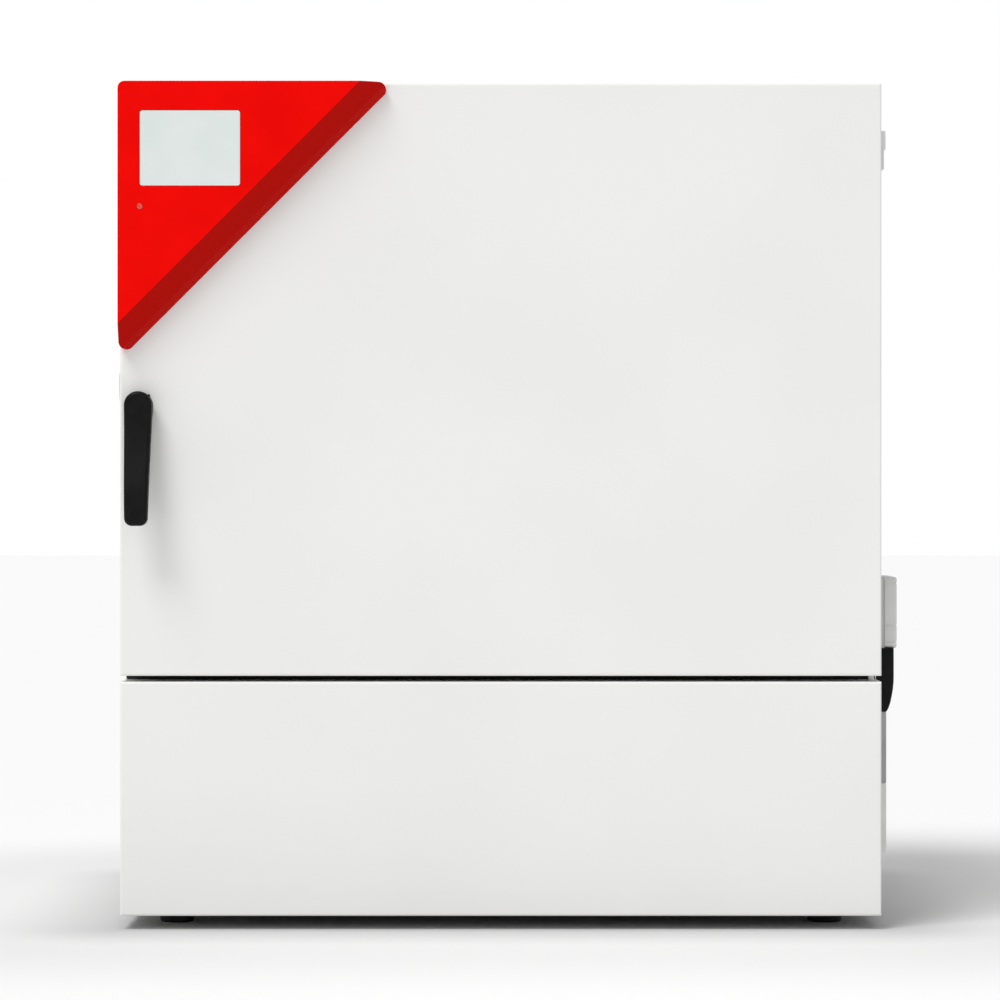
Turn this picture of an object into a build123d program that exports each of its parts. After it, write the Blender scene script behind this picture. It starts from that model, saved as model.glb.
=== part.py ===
from build123d import *
import os

os.makedirs("parts", exist_ok=True)

# A free-standing climate chamber of about 100 litres. Z is up, the door faces -Y, and the
# origin lies on the floor under the middle of the casing. All lengths are in millimetres.

# Casing
casing_sheet = 1.2
foot_height = 16.0
foot_diameter = 40.0
foot_inset = 58.0  # foot centre to the casing's side
foot_front_setback = 98.0  # foot centre behind the door face
foot_rear_setback = 60.0  # foot centre before the rear sheet
edge_radius = 2.5  # folded edges of the door and the lower cover
screw_head_diameter = 8.0
screw_head_height = 2.2

# Outer door
door_thickness = 58.0
door_sheet = 1.2
door_gap = 10.0  # door back to front frame, bridged by the gasket
cover_gap = 7.0  # between the door and the lower front cover
liner_rise = 12.0  # how far the liner's raised panel enters the frame
gasket_width = 14.0
gasket_inset = 36.0  # gasket to the door's edge
soft_gap = 0.3  # a resting seal's distance from its seat
door_hinge_inset = 10.0  # pin axis to the casing's right side
door_hinge_depth = 29.0  # pin axis behind the door face
door_pin_diameter = 8.0
door_pin_length = 20.0  # in the door's bush block
running_fit = 0.05  # radial clearance of a pin or shaft in its bush

# Red control cover, display and lamp
control_leg = 307.5
control_height = 30.0
control_bevel = 22.0
control_corner = 8.0
control_wall = 3.0
display_width = 115.2
display_height = 86.4
display_left = 25.5  # from the casing's left side
display_drop = 34.0  # from the casing's top
display_thickness = 3.0
lamp_diameter = 7.0
lamp_drop = 144.0
fit_gap = 0.4  # around a piece set into a window

# Door handle and latch
handle_inset = 22.5  # handle's middle to the casing's left side
handle_drop = 356.0  # handle's top below the casing's top
handle_length = 155.0
handle_top_width = 32.5
handle_bottom_width = 26.5
handle_reach = 52.0  # from the door face to the handle's front at its lower end
handle_thickness = 13.0
handle_pin_diameter = 5.0
handle_pin_standoff = 13.0  # pin axis in front of the door face
crank_length = 24.0  # pin axis to the nose that moves the latch bar
latch_travel = 12.0
latch_bar_length = 170.0
latch_bar_width = 12.0
latch_bar_thickness = 5.0
latch_clearance = 1.5

# Chamber, its ducts and its insulation
chamber_width = 600.0
chamber_height = 483.0
chamber_length = 350.0
chamber_sheet = 1.0
side_duct = 52.0
plenum_depth = 104.0
machine_height = 290.0  # base pan and machine space under the insulation
cover_drop = 19.5  # top of the lower front cover below the machine space's roof
floor_insulation = 86.5
side_insulation = 88.0  # side duct to the casing's outer face
roof_insulation = 101.5  # chamber roof to the casing's outer face
rear_insulation = 110.0  # fan space to the rear sheet's outer face
frame_depth = 17.0

# Glass inner door
glass_thickness = 5.0
glass_overlap = 20.0  # beyond the chamber mouth on each side
glass_clearance = 6.0
seal_thickness = 4.0
seal_width = 9.0
glass_pin_diameter = 6.0
hinge_block_width = 20.0
hinge_block_height = 34.0

# Racks and rails
rack_wire = 3.2
rack_bar = 6.0
rack_pitch = 33.0
rail_flange = 14.0
rail_levels = 5
rail_pitch = 82.0
rail_start = 60.0  # lowest rail above the chamber floor

# Air circulation and refrigeration
fan_diameter = 180.0
fan_width = 34.0
fan_blades = 14
fan_shaft_diameter = 10.0
motor_diameter = 92.0
compressor_diameter = 130.0
compressor_height = 178.0
condenser_width = 330.0
condenser_height = 210.0
condenser_depth = 60.0
condenser_side_gap = 30.0
condenser_rear_gap = 10.0
condenser_fan_diameter = 180.0
compressor_gap = 128.8  # compressor shell to the condenser
electronics_width = 280.0
electronics_depth = 200.0
electronics_height = 220.0
electronics_gap = 30.0
line_diameter = 9.5

# Service pieces on the right side
service_reach = 25.0
service_depth = 120.0
service_setback = 72.0  # front edge behind the door face
service_box_height = 83.0
service_rise = 36.5  # bottom of the service box above the lower front cover

# Access port on the left side, water and mains connections at the back
port_bore = 30.0
port_flange = 62.0
rear_reach = 52.0  # hose tails beyond the rear sheet
hose_tail_diameter = 13.0

# Casing and door that the sizes above give
cabinet_width = chamber_width + 2 * (side_duct + side_insulation)
cabinet_height = machine_height + floor_insulation + chamber_sheet + chamber_height + roof_insulation
front_build = door_thickness + door_gap + frame_depth + chamber_sheet
cabinet_depth = front_build + chamber_length + plenum_depth + rear_insulation
lower_cover_height = machine_height - cover_drop
door_height = cabinet_height - lower_cover_height - cover_gap

# Planes and edges
left = -cabinet_width / 2
right = cabinet_width / 2
front = -cabinet_depth / 2
rear = cabinet_depth / 2
bottom = foot_height
top = foot_height + cabinet_height
door_bottom = top - door_height
door_back = front + door_thickness
cabinet_front = door_back + door_gap
cover_top = door_bottom - cover_gap
frame_rear = cabinet_front + frame_depth
mouth_rear = frame_rear + chamber_sheet
chamber_rear = mouth_rear + chamber_length
tub_rear = chamber_rear + plenum_depth
rear_sheet_front = rear - casing_sheet
side_sheet_left = left + casing_sheet
side_sheet_right = right - casing_sheet
top_sheet_bottom = top - casing_sheet
machine_top = bottom + machine_height
chamber_floor = machine_top + floor_insulation + chamber_sheet
chamber_top = chamber_floor + chamber_height
chamber_half = chamber_width / 2
tub_half = chamber_half + side_duct
door_pin_x = right - door_hinge_inset
door_pin_y = front + door_hinge_depth


def slab(x, y, z, mode=Mode.ADD):
    """Upright block between the given pairs of limits along X, Y and Z."""
    with BuildSketch(Plane.XY.offset(min(z))) as outline:
        with Locations(((x[0] + x[1]) / 2, (y[0] + y[1]) / 2)):
            Rectangle(abs(x[1] - x[0]), abs(y[1] - y[0]))
    extrude(outline.sketch, amount=abs(z[1] - z[0]), mode=mode)


def rod(start, direction, diameter, length, mode=Mode.ADD):
    """Round bar or bore from a point along a direction."""
    with BuildSketch(Plane(origin=start, z_dir=direction)) as section:
        Circle(diameter / 2)
    extrude(section.sketch, amount=length, mode=mode)


def ring(start, direction, outer, inner, length, mode=Mode.ADD):
    """Round tube from a point along a direction."""
    with BuildSketch(Plane(origin=start, z_dir=direction)) as section:
        Circle(outer / 2)
        Circle(inner / 2, mode=Mode.SUBTRACT)
    extrude(section.sketch, amount=length, mode=mode)


def frame_of(x, y, z, width, corner, mode=Mode.ADD):
    """Upright rectangular ring with rounded corners, inside the given outer limits."""
    with BuildSketch(Plane.XZ.offset(-max(y))) as outline:
        with Locations(((x[0] + x[1]) / 2, (z[0] + z[1]) / 2)):
            RectangleRounded(x[1] - x[0], z[1] - z[0], corner)
            RectangleRounded(
                x[1] - x[0] - 2 * width, z[1] - z[0] - 2 * width, corner / 2, mode=Mode.SUBTRACT
            )
    extrude(outline.sketch, amount=abs(y[1] - y[0]), mode=mode)


def pipe(points, bend, diameter, mode=Mode.ADD):
    """Bent pipe through the given corners."""
    with BuildLine() as path:
        FilletPolyline(*points, radius=bend)
    start = path.line @ 0
    with BuildSketch(Plane(origin=start, z_dir=path.line % 0)) as section:
        Circle(diameter / 2)
    sweep(section.sketch, path=path.line, mode=mode)


def finish(piece, name):
    """Name a finished piece and write it."""
    piece.part.label = name
    export_step(piece.part, f"parts/{name}.step")


# Outer door

# Places in the door that several pieces share
handle_x = left + handle_inset
handle_top = top - handle_drop
handle_pin_y = front - handle_pin_standoff
handle_pin_z = handle_top - handle_top_width / 2 - 2
hinge_notch_height = 16.0
hinge_notch_front = 16.0  # door face left in front of the hinge notch
hinge_block_drop = 22.0  # height of the bush blocks inside the door
hinge_block_reach = 12.0  # from the pin axis inwards
door_inner_back = door_back - door_sheet
latch_bar_y = front + 9.5
latch_bar_top = handle_pin_z + 20
latch_bar_bottom = latch_bar_top - latch_bar_length
tongue_height = 25.0
tongue_thickness = 5.0
tongue_bottom = latch_bar_bottom + 8
tongue_end = cabinet_front + 8
crank_width = 6.0
crank_nose = 6.0
window_drop = 12.0  # the crank's window in the door face, below the pin axis
window_rise = 4.0
panel_corner = 15.0
panel_edge = 4.0
glass_half = chamber_half + glass_overlap
glass_bottom = chamber_floor - glass_overlap
glass_top = chamber_top + glass_overlap


def bush_blocks(mode=Mode.ADD):
    """The two blocks that hold the door's hinge bushes, top and bottom."""
    x = (door_pin_x - hinge_block_reach, right - door_sheet)
    y = (front + hinge_notch_front, door_inner_back)
    notch_floor = top - hinge_notch_height
    slab(x, y, (notch_floor - hinge_block_drop, notch_floor), mode=mode)
    slab(x, y, (door_bottom + door_sheet, door_bottom + door_sheet + hinge_block_drop), mode=mode)


def raised_panel(shrink, start, mode=Mode.ADD):
    """The pressed panel on the door's inner side, made smaller by shrink on each side."""
    with BuildPart(mode=Mode.PRIVATE) as panel:
        slab(
            (-glass_half + shrink, glass_half - shrink),
            (start, door_back + liner_rise - shrink),
            (glass_bottom + shrink, glass_top - shrink),
        )
        fillet(panel.edges().filter_by(Axis.Y), panel_corner - shrink)
        fillet(panel.faces().sort_by(Axis.Y)[-1].edges(), panel_edge - shrink)
    add(panel.part, mode=mode)


# Sheet pan with folded sides, cut for the top hinge arm, the bottom pin, the handle's crank
# and the display cable.
with BuildPart() as door_shell:
    slab((left, right), (front, door_back), (door_bottom, top))
    fillet(door_shell.faces().sort_by(Axis.Y)[0].edges(), edge_radius)
    offset(amount=-door_sheet, openings=door_shell.faces().sort_by(Axis.Y)[-1])
    slab(
        (door_pin_x - hinge_block_reach, right + 1),
        (front + hinge_notch_front, door_back + 1),
        (top - hinge_notch_height, top + 1),
        mode=Mode.SUBTRACT,
    )
    rod(
        (door_pin_x, door_pin_y, door_bottom - 1),
        (0, 0, 1),
        door_pin_diameter + 2 * latch_clearance,
        door_sheet + 2,
        mode=Mode.SUBTRACT,
    )
    slab(
        (handle_x - crank_width / 2 - latch_clearance, handle_x + crank_width / 2 + latch_clearance),
        (front - 1, front + door_sheet + 1),
        (handle_pin_z - window_drop, handle_pin_z + window_rise),
        mode=Mode.SUBTRACT,
    )
    rod(
        (left + display_left + display_width / 2, front - 1, top - display_drop - display_height / 2),
        (0, 1, 0),
        24,
        door_sheet + 2,
        mode=Mode.SUBTRACT,
    )
finish(door_shell, "door_shell")

# Foam that fills the door, hollow round the latch bar and the bush blocks
with BuildPart() as door_core:
    slab(
        (left + door_sheet, right - door_sheet),
        (front + door_sheet, door_inner_back),
        (door_bottom + door_sheet, top - door_sheet),
    )
    fillet(door_core.faces().sort_by(Axis.Y)[0].edges(), edge_radius - door_sheet)
    raised_panel(door_sheet, door_inner_back)
    slab(
        (door_pin_x - hinge_block_reach, right),
        (front + hinge_notch_front, door_back),
        (top - hinge_notch_height - hinge_block_drop, top),
        mode=Mode.SUBTRACT,
    )
    bush_blocks(mode=Mode.SUBTRACT)
    slab(
        (handle_x - latch_bar_width / 2 - latch_clearance, handle_x + latch_bar_width / 2 + latch_clearance),
        (front, handle_pin_y + crank_length + crank_nose / 2 + latch_clearance),
        (latch_bar_bottom - latch_travel - latch_clearance, latch_bar_top + latch_clearance),
        mode=Mode.SUBTRACT,
    )
    slab(
        (handle_x - tongue_thickness / 2 - latch_clearance, handle_x + tongue_thickness / 2 + latch_clearance),
        (latch_bar_y, door_back),
        (tongue_bottom - latch_travel - latch_clearance, tongue_bottom + tongue_height + latch_clearance),
        mode=Mode.SUBTRACT,
    )
finish(door_core, "door_core")

# Stainless inner side of the door, one pressing with a raised panel and a slot for the tongue
with BuildPart() as door_liner:
    slab(
        (left + door_sheet, right - door_sheet),
        (door_inner_back, door_back),
        (door_bottom + door_sheet, top - door_sheet),
    )
    raised_panel(0, door_inner_back)
    raised_panel(door_sheet, door_inner_back, mode=Mode.SUBTRACT)
    slab(
        (door_pin_x - hinge_block_reach, right),
        (door_inner_back - 1, door_back + 1),
        (top - hinge_notch_height, top),
        mode=Mode.SUBTRACT,
    )
    slab(
        (handle_x - tongue_thickness / 2 - latch_clearance, handle_x + tongue_thickness / 2 + latch_clearance),
        (door_inner_back - 1, door_back + 1),
        (tongue_bottom - latch_travel - latch_clearance, tongue_bottom + tongue_height + latch_clearance),
        mode=Mode.SUBTRACT,
    )
finish(door_liner, "door_liner")

# Hollow rubber gasket clipped round the door's inner side, just short of the front frame
with BuildPart() as door_gasket:
    frame_of(
        (left + gasket_inset, right - gasket_inset),
        (door_back, cabinet_front - soft_gap),
        (door_bottom + gasket_inset, top - gasket_inset),
        gasket_width,
        2 * gasket_width,
    )
    chamfer(door_gasket.faces().sort_by(Axis.Y)[-1].edges(), gasket_width / 5)
finish(door_gasket, "door_gasket")

# Blocks that carry the door on its two hinge pins
with BuildPart() as hinge_bushes:
    bush_blocks()
    rod(
        (door_pin_x, door_pin_y, door_bottom),
        (0, 0, 1),
        door_pin_diameter + 2 * running_fit,
        hinge_block_drop + door_sheet + 1,
        mode=Mode.SUBTRACT,
    )
    rod(
        (door_pin_x, door_pin_y, top),
        (0, 0, -1),
        door_pin_diameter + 2 * running_fit,
        hinge_notch_height + hinge_block_drop + 1,
        mode=Mode.SUBTRACT,
    )
finish(hinge_bushes, "hinge_bushes")


# Red control cover with the display and the lamp

control_tip = control_corner * 2**0.5  # what the rounding takes off each pointed corner
control_sharp = control_leg + control_tip
control_strip = 6.5  # narrow lower band along the sloping edge
control_strip_height = 13.0
control_lip = 2.0
display_x = left + display_left + display_width / 2
display_z = top - display_drop - display_height / 2
window_width = display_width + 2 * fit_gap
window_height = display_height + 2 * fit_gap
module_margin = 5.0
module_depth = 18.0
lamp_z = top - lamp_drop
lamp_x = left + display_left
lamp_stand = 1.0

# Moulded triangle with a bevel along its sloping edge, open at the back
with BuildPart() as control_housing:
    with BuildSketch(Plane.XZ.offset(-front)) as triangle:
        with BuildLine():
            Polyline(
                (left, top), (left + control_sharp, top), (left, top - control_sharp), close=True
            )
        make_face()
        fillet(triangle.vertices(), control_corner)
    extrude(triangle.sketch, amount=control_height)
    slope = Plane(
        origin=(left + control_sharp / 2, front, top - control_sharp / 2),
        x_dir=(1, 0, -1),
        z_dir=(1, 0, 1),
    )
    with BuildSketch(slope) as bevel:
        with BuildLine():
            Polyline(
                (-control_bevel - control_strip, -control_height - 1),
                (-control_bevel - control_strip, -control_height),
                (-control_strip, -control_strip_height),
                (0, -control_lip),
                (control_wall, -control_lip),
                (control_wall, -control_height - 1),
                close=True,
            )
        make_face()
    extrude(bevel.sketch, amount=control_sharp, both=True, mode=Mode.SUBTRACT)
    offset(amount=-control_wall, openings=control_housing.faces().sort_by(Axis.Y)[-1])
    with BuildSketch(Plane.XZ.offset(-front)) as window:
        with Locations((display_x, display_z)):
            RectangleRounded(window_width, window_height, control_wall)
    extrude(window.sketch, amount=control_height + 1, mode=Mode.SUBTRACT)
    rod(
        (lamp_x, front, lamp_z),
        (0, -1, 0),
        lamp_diameter + 2 * fit_gap,
        control_height + 1,
        mode=Mode.SUBTRACT,
    )
finish(control_housing, "control_housing")

with BuildPart() as display_glass:
    with BuildSketch(Plane.XZ.offset(control_height - control_wall - front)) as pane:
        with Locations((display_x, display_z)):
            RectangleRounded(display_width, display_height, control_wall)
    extrude(pane.sketch, amount=display_thickness)
    fillet(display_glass.faces().sort_by(Axis.Y)[0].edges(), display_thickness / 6)
finish(display_glass, "display_glass")

# Circuit tray behind the display, held against the cover's inner face
with BuildPart() as display_module:
    module_front = front - control_height + control_wall
    slab(
        (display_x - window_width / 2 - module_margin, display_x + window_width / 2 + module_margin),
        (module_front, module_front + module_depth),
        (display_z - window_height / 2 - module_margin, display_z + window_height / 2 + module_margin),
    )
    chamfer(display_module.faces().sort_by(Axis.Y)[-1].edges(), module_margin / 2)
finish(display_module, "display_module")

with BuildPart() as status_lamp:
    lamp_length = control_wall + lamp_stand + lamp_diameter / 2
    lamp_front = front - control_height - lamp_stand
    rod((lamp_x, lamp_front, lamp_z), (0, 1, 0), lamp_diameter, lamp_length)
    fillet(status_lamp.faces().sort_by(Axis.Y)[0].edges(), lamp_stand)
    rod(
        (lamp_x, front - control_height + control_wall, lamp_z),
        (0, 1, 0),
        lamp_diameter + 2 * lamp_stand,
        lamp_diameter / 2,
    )
finish(status_lamp, "status_lamp")


# Door handle, hung on a pin between the two ears of its base

hub_radius = handle_pin_standoff - 2.5
lever_angle = 30.0  # how far the handle pulls out
ear_inner = 4.6
ear_outer = 12.2
ear_radius = 6.5
base_plate = 2.0
base_half_height = 15.0
pocket_inner = ear_inner - 0.8
pocket_outer = ear_outer + 0.6
pocket_gap = 1.0  # round the ears
handle_bottom = handle_top - handle_length
hub_front = 12.0  # handle's front face before the pin axis
crank_thickness = 4.0

with BuildPart() as handle_base:
    slab(
        (handle_x - ear_outer, handle_x + ear_outer),
        (front - base_plate, front),
        (handle_pin_z - base_half_height, handle_pin_z + base_half_height),
    )
    for side in (-1, 1):
        ear_x = (handle_x + side * ear_inner, handle_x + side * ear_outer)
        slab(ear_x, (handle_pin_y, front), (handle_pin_z - ear_radius, handle_pin_z + ear_radius))
        rod(
            (min(ear_x), handle_pin_y, handle_pin_z),
            (1, 0, 0),
            2 * ear_radius,
            ear_outer - ear_inner,
        )
    rod(
        (handle_x - ear_outer, handle_pin_y, handle_pin_z),
        (1, 0, 0),
        handle_pin_diameter + 2 * running_fit,
        2 * ear_outer,
        mode=Mode.SUBTRACT,
    )
    slab(
        (handle_x - ear_inner, handle_x + ear_inner),
        (front - base_plate, front),
        (handle_pin_z - window_drop, handle_pin_z + window_rise),
        mode=Mode.SUBTRACT,
    )
finish(handle_base, "handle_base")

# The lever: a long paddle that leans away from the door towards its lower end, with a round
# hub round the pin and a crank that reaches through the door face to the latch bar
with BuildPart() as handle_lever:
    hub = Vector(handle_pin_y, handle_pin_z)
    top_rise = handle_top - handle_pin_z
    rear_slope = lever_angle  # cut back so that the hub clears the door when the handle is pulled
    rear_at_top = (hub_radius - top_rise * 0.5) / (3**0.5 / 2)
    top_front = (handle_pin_y - hub_front, handle_top)
    bottom_front = (front - handle_reach, handle_bottom)
    bottom_rear = (front - handle_reach + handle_thickness, handle_bottom)
    hub_under = hub + Vector(0, -hub_radius)
    hub_back = hub + Vector(hub_radius, 0).rotate(Axis.Z, rear_slope)
    hub_middle = hub + Vector(hub_radius, 0).rotate(Axis.Z, -rear_slope)
    with BuildSketch(Plane.YZ.offset(handle_x - handle_top_width / 2)) as side_view:
        with BuildLine():
            Spline(
                top_front,
                (handle_pin_y - hub_front * 1.35, handle_pin_z - handle_length * 0.2),
                (front - handle_reach * 0.85, handle_bottom + handle_length * 0.35),
                bottom_front,
            )
            Line(bottom_front, bottom_rear)
            Spline(
                bottom_rear,
                (front - handle_reach * 0.85 + handle_thickness, handle_bottom + handle_length * 0.35),
                (handle_pin_y - hub_front * 0.35, handle_pin_z - handle_length * 0.18),
                hub_under,
            )
            ThreePointArc(hub_under, hub_middle, hub_back)
            Line(hub_back, (handle_pin_y + rear_at_top, handle_top))
            Line((handle_pin_y + rear_at_top, handle_top), top_front)
        make_face()
    extrude(side_view.sketch, amount=handle_top_width)
    with BuildSketch(Plane.XZ.offset(-front)) as front_view:
        with Locations((handle_x, handle_top - handle_top_width / 2)):
            Circle(handle_top_width / 2)
        with Locations((handle_x, handle_bottom + handle_bottom_width / 2)):
            RectangleRounded(handle_bottom_width, handle_bottom_width, handle_bottom_width / 3)
        make_hull()
    extrude(front_view.sketch, amount=2 * handle_reach, mode=Mode.INTERSECT)
    curved_faces = handle_lever.faces().filter_by(GeomType.EXTRUSION).sort_by(Axis.Y)
    fillet(curved_faces[0].edges(), handle_thickness / 3)
    for side in (-1, 1):
        slab(
            (handle_x + side * pocket_inner, handle_x + side * pocket_outer),
            (handle_pin_y - ear_radius - pocket_gap, front),
            (handle_pin_z - ear_radius - pocket_gap, handle_pin_z + 2 * ear_radius + pocket_gap),
            mode=Mode.SUBTRACT,
        )
    pin_half = (pocket_outer + handle_top_width / 2) / 2
    rod(
        (handle_x - pin_half, handle_pin_y, handle_pin_z),
        (1, 0, 0),
        handle_pin_diameter,
        2 * pin_half,
    )
    slab(
        (handle_x - crank_width / 2, handle_x + crank_width / 2),
        (handle_pin_y, handle_pin_y + crank_length),
        (handle_pin_z - crank_thickness / 2, handle_pin_z + crank_thickness / 2),
    )
    rod(
        (handle_x - crank_width / 2, handle_pin_y + crank_length, handle_pin_z),
        (1, 0, 0),
        crank_nose,
        crank_width,
    )
finish(handle_lever, "handle_lever")

# Flat steel bar in the door's left edge, notched for the crank's nose, with the tongue that
# enters the strike
with BuildPart() as latch_bar:
    slab(
        (handle_x - latch_bar_width / 2, handle_x + latch_bar_width / 2),
        (latch_bar_y - latch_bar_thickness / 2, latch_bar_y + latch_bar_thickness / 2),
        (latch_bar_bottom, latch_bar_top),
    )
    nose_half = crank_nose / 2 + 0.35
    slab(
        (handle_x - crank_width / 2 - 0.6, handle_x + crank_width / 2 + 0.6),
        (latch_bar_y - latch_bar_thickness, latch_bar_y + latch_bar_thickness),
        (handle_pin_z - nose_half, handle_pin_z + nose_half),
        mode=Mode.SUBTRACT,
    )
    slab(
        (handle_x - tongue_thickness / 2, handle_x + tongue_thickness / 2),
        (latch_bar_y, tongue_end),
        (tongue_bottom, tongue_bottom + tongue_height),
    )
    chamfer(
        latch_bar.faces().sort_by(Axis.Y)[-1].edges().filter_by(Axis.X), tongue_height / 6
    )
finish(latch_bar, "latch_bar")


# Cabinet casing

frame_bottom = cover_top - door_sheet
port_y = (mouth_rear + chamber_rear) / 2
port_z = chamber_floor + chamber_height / 2
port_wall = 3.0
port_tube = port_bore + 2 * port_wall
port_hole = port_tube + 2 * fit_gap
pan_flange = 25.0
coil_fins = 12
coil_length = chamber_width - 120
coil_pitch = coil_length / coil_fins
line_x = coil_pitch * 5.1  # refrigerant lines, each between two fins of the evaporator
line_spacing = coil_pitch * 0.65
line_y = tub_rear + 45.0
steam_x = -chamber_half * 0.6
steam_y = tub_rear - 45.0
steam_diameter = 14.0
drain_x = 0.0

with BuildPart() as left_panel:
    slab((left, side_sheet_left), (cabinet_front, rear_sheet_front), (bottom, top))
    rod((left - 1, port_y, port_z), (1, 0, 0), port_hole, casing_sheet + 2, mode=Mode.SUBTRACT)
finish(left_panel, "left_panel")

with BuildPart() as right_panel:
    slab((side_sheet_right, right), (cabinet_front, rear_sheet_front), (bottom, top))
finish(right_panel, "right_panel")

with BuildPart() as top_panel:
    slab(
        (side_sheet_left, side_sheet_right),
        (cabinet_front, rear_sheet_front),
        (top_sheet_bottom, top),
    )
finish(top_panel, "top_panel")

# Folded tray under the machine space
with BuildPart() as base_pan:
    slab(
        (side_sheet_left, side_sheet_right),
        (cabinet_front, rear_sheet_front),
        (bottom, bottom + pan_flange),
    )
    offset(amount=-casing_sheet, openings=base_pan.faces().sort_by(Axis.Z)[-1])
finish(base_pan, "base_pan")

# Floor of the insulated part, with passages for the two refrigerant lines, the steam pipe
# and the chamber drain
with BuildPart() as partition:
    slab(
        (side_sheet_left, side_sheet_right),
        (frame_rear, rear_sheet_front),
        (machine_top - 2 * casing_sheet, machine_top),
    )
    for x, y, diameter in (
        (line_x, line_y, line_diameter),
        (line_x + line_spacing, line_y, line_diameter),
        (steam_x, steam_y, steam_diameter),
        (drain_x, steam_y, steam_diameter),
    ):
        rod(
            (x, y, machine_top + 1),
            (0, 0, -1),
            diameter + 4 * fit_gap,
            2 * casing_sheet + 2,
            mode=Mode.SUBTRACT,
        )
finish(partition, "partition")

# Folded tray over the front of the machine space, notched for the lower hinge pin
with BuildPart() as lower_front_cover:
    slab((left, right), (front, cabinet_front), (bottom, cover_top))
    fillet(lower_front_cover.faces().sort_by(Axis.Y)[0].edges(), edge_radius)
    offset(amount=-door_sheet, openings=lower_front_cover.faces().sort_by(Axis.Y)[-1])
    rod(
        (door_pin_x, door_pin_y, cover_top + 1),
        (0, 0, -1),
        door_pin_diameter + 2 * fit_gap,
        door_sheet + 2,
        mode=Mode.SUBTRACT,
    )
finish(lower_front_cover, "lower_front_cover")

# Rubber pads under the base pan
with BuildPart() as feet:
    with BuildSketch() as pads:
        for foot_y in (front + foot_front_setback, rear - foot_rear_setback):
            with Locations((left + foot_inset, foot_y), (right - foot_inset, foot_y)):
                Circle(foot_diameter / 2)
    extrude(pads.sketch, amount=foot_height)
    chamfer(feet.faces().filter_by(Axis.Z).sort_by(Axis.Z)[:4].edges(), foot_height / 8)
finish(feet, "feet")


# Front frame, chamber and insulation

strike_half = 10.0
strike_margin = 4.0
strike_depth = 14.0
strike_bottom = tongue_bottom - latch_travel - latch_clearance - strike_margin
strike_top = tongue_bottom + tongue_height + latch_clearance + strike_margin
recess_left = -glass_half - glass_clearance
recess_right = glass_half + glass_clearance + hinge_block_width
recess_bottom = glass_bottom - glass_clearance
recess_top = glass_top + glass_clearance
motor_y = tub_rear + chamber_sheet
fan_z = chamber_floor + chamber_height / 2
coil_fin_sheet = 1.5
coil_depth = 40.0
coil_height = 90.0
coil_top_gap = 12.0
coil_y = tub_rear - coil_depth / 2 - 12
coil_z = chamber_top - coil_top_gap - coil_height / 2
coil_tube_z = (coil_z - coil_height / 4, coil_z + coil_height / 4)

# Black moulded frame between casing and chamber, recessed for the glass door and pocketed
# for the strike
with BuildPart() as front_frame:
    slab(
        (side_sheet_left, side_sheet_right),
        (cabinet_front, frame_rear),
        (frame_bottom, top_sheet_bottom),
    )
    slab(
        (recess_left, recess_right),
        (cabinet_front - 1, frame_rear + 1),
        (recess_bottom, recess_top),
        mode=Mode.SUBTRACT,
    )
    slab(
        (handle_x - strike_half, handle_x + strike_half),
        (cabinet_front - 1, cabinet_front + strike_depth),
        (strike_bottom, strike_top),
        mode=Mode.SUBTRACT,
    )
finish(front_frame, "front_frame")

# Steel cup that receives the latch tongue
with BuildPart() as strike:
    slab(
        (handle_x - strike_half, handle_x + strike_half),
        (cabinet_front, cabinet_front + strike_depth),
        (strike_bottom, strike_top),
    )
    slab(
        (handle_x - tongue_thickness / 2 - latch_clearance, handle_x + tongue_thickness / 2 + latch_clearance),
        (cabinet_front - 1, cabinet_front + strike_depth - casing_sheet),
        (strike_bottom + strike_margin, strike_top - strike_margin),
        mode=Mode.SUBTRACT,
    )
finish(strike, "strike")

# Welded stainless tub with its wide front flange
with BuildPart() as inner_chamber:
    slab(
        (-tub_half - chamber_sheet, tub_half + chamber_sheet),
        (frame_rear, tub_rear + chamber_sheet),
        (chamber_floor - chamber_sheet, chamber_top + chamber_sheet),
    )
    slab(
        (side_sheet_left, side_sheet_right),
        (frame_rear, mouth_rear),
        (machine_top, top_sheet_bottom),
    )
    slab(
        (-tub_half, tub_half),
        (mouth_rear, tub_rear),
        (chamber_floor, chamber_top),
        mode=Mode.SUBTRACT,
    )
    slab(
        (-chamber_half, chamber_half),
        (frame_rear - 1, mouth_rear + 1),
        (chamber_floor, chamber_top),
        mode=Mode.SUBTRACT,
    )
    rod(
        (-tub_half + 1, port_y, port_z), (-1, 0, 0), port_hole, chamber_sheet + 2, mode=Mode.SUBTRACT
    )
    rod(
        (0, tub_rear - 1, fan_z),
        (0, 1, 0),
        fan_shaft_diameter + 2 * fit_gap,
        chamber_sheet + 2,
        mode=Mode.SUBTRACT,
    )
    for x in (steam_x, drain_x):
        rod(
            (x, steam_y, chamber_floor + 1),
            (0, 0, -1),
            steam_diameter + 2 * fit_gap,
            chamber_sheet + 2,
            mode=Mode.SUBTRACT,
        )
    for x, z in ((line_x, coil_tube_z[0]), (line_x + line_spacing, coil_tube_z[1])):
        rod(
            (x, tub_rear - 1, z),
            (0, 1, 0),
            line_diameter + 2 * fit_gap,
            chamber_sheet + 2,
            mode=Mode.SUBTRACT,
        )
finish(inner_chamber, "inner_chamber")

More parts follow.
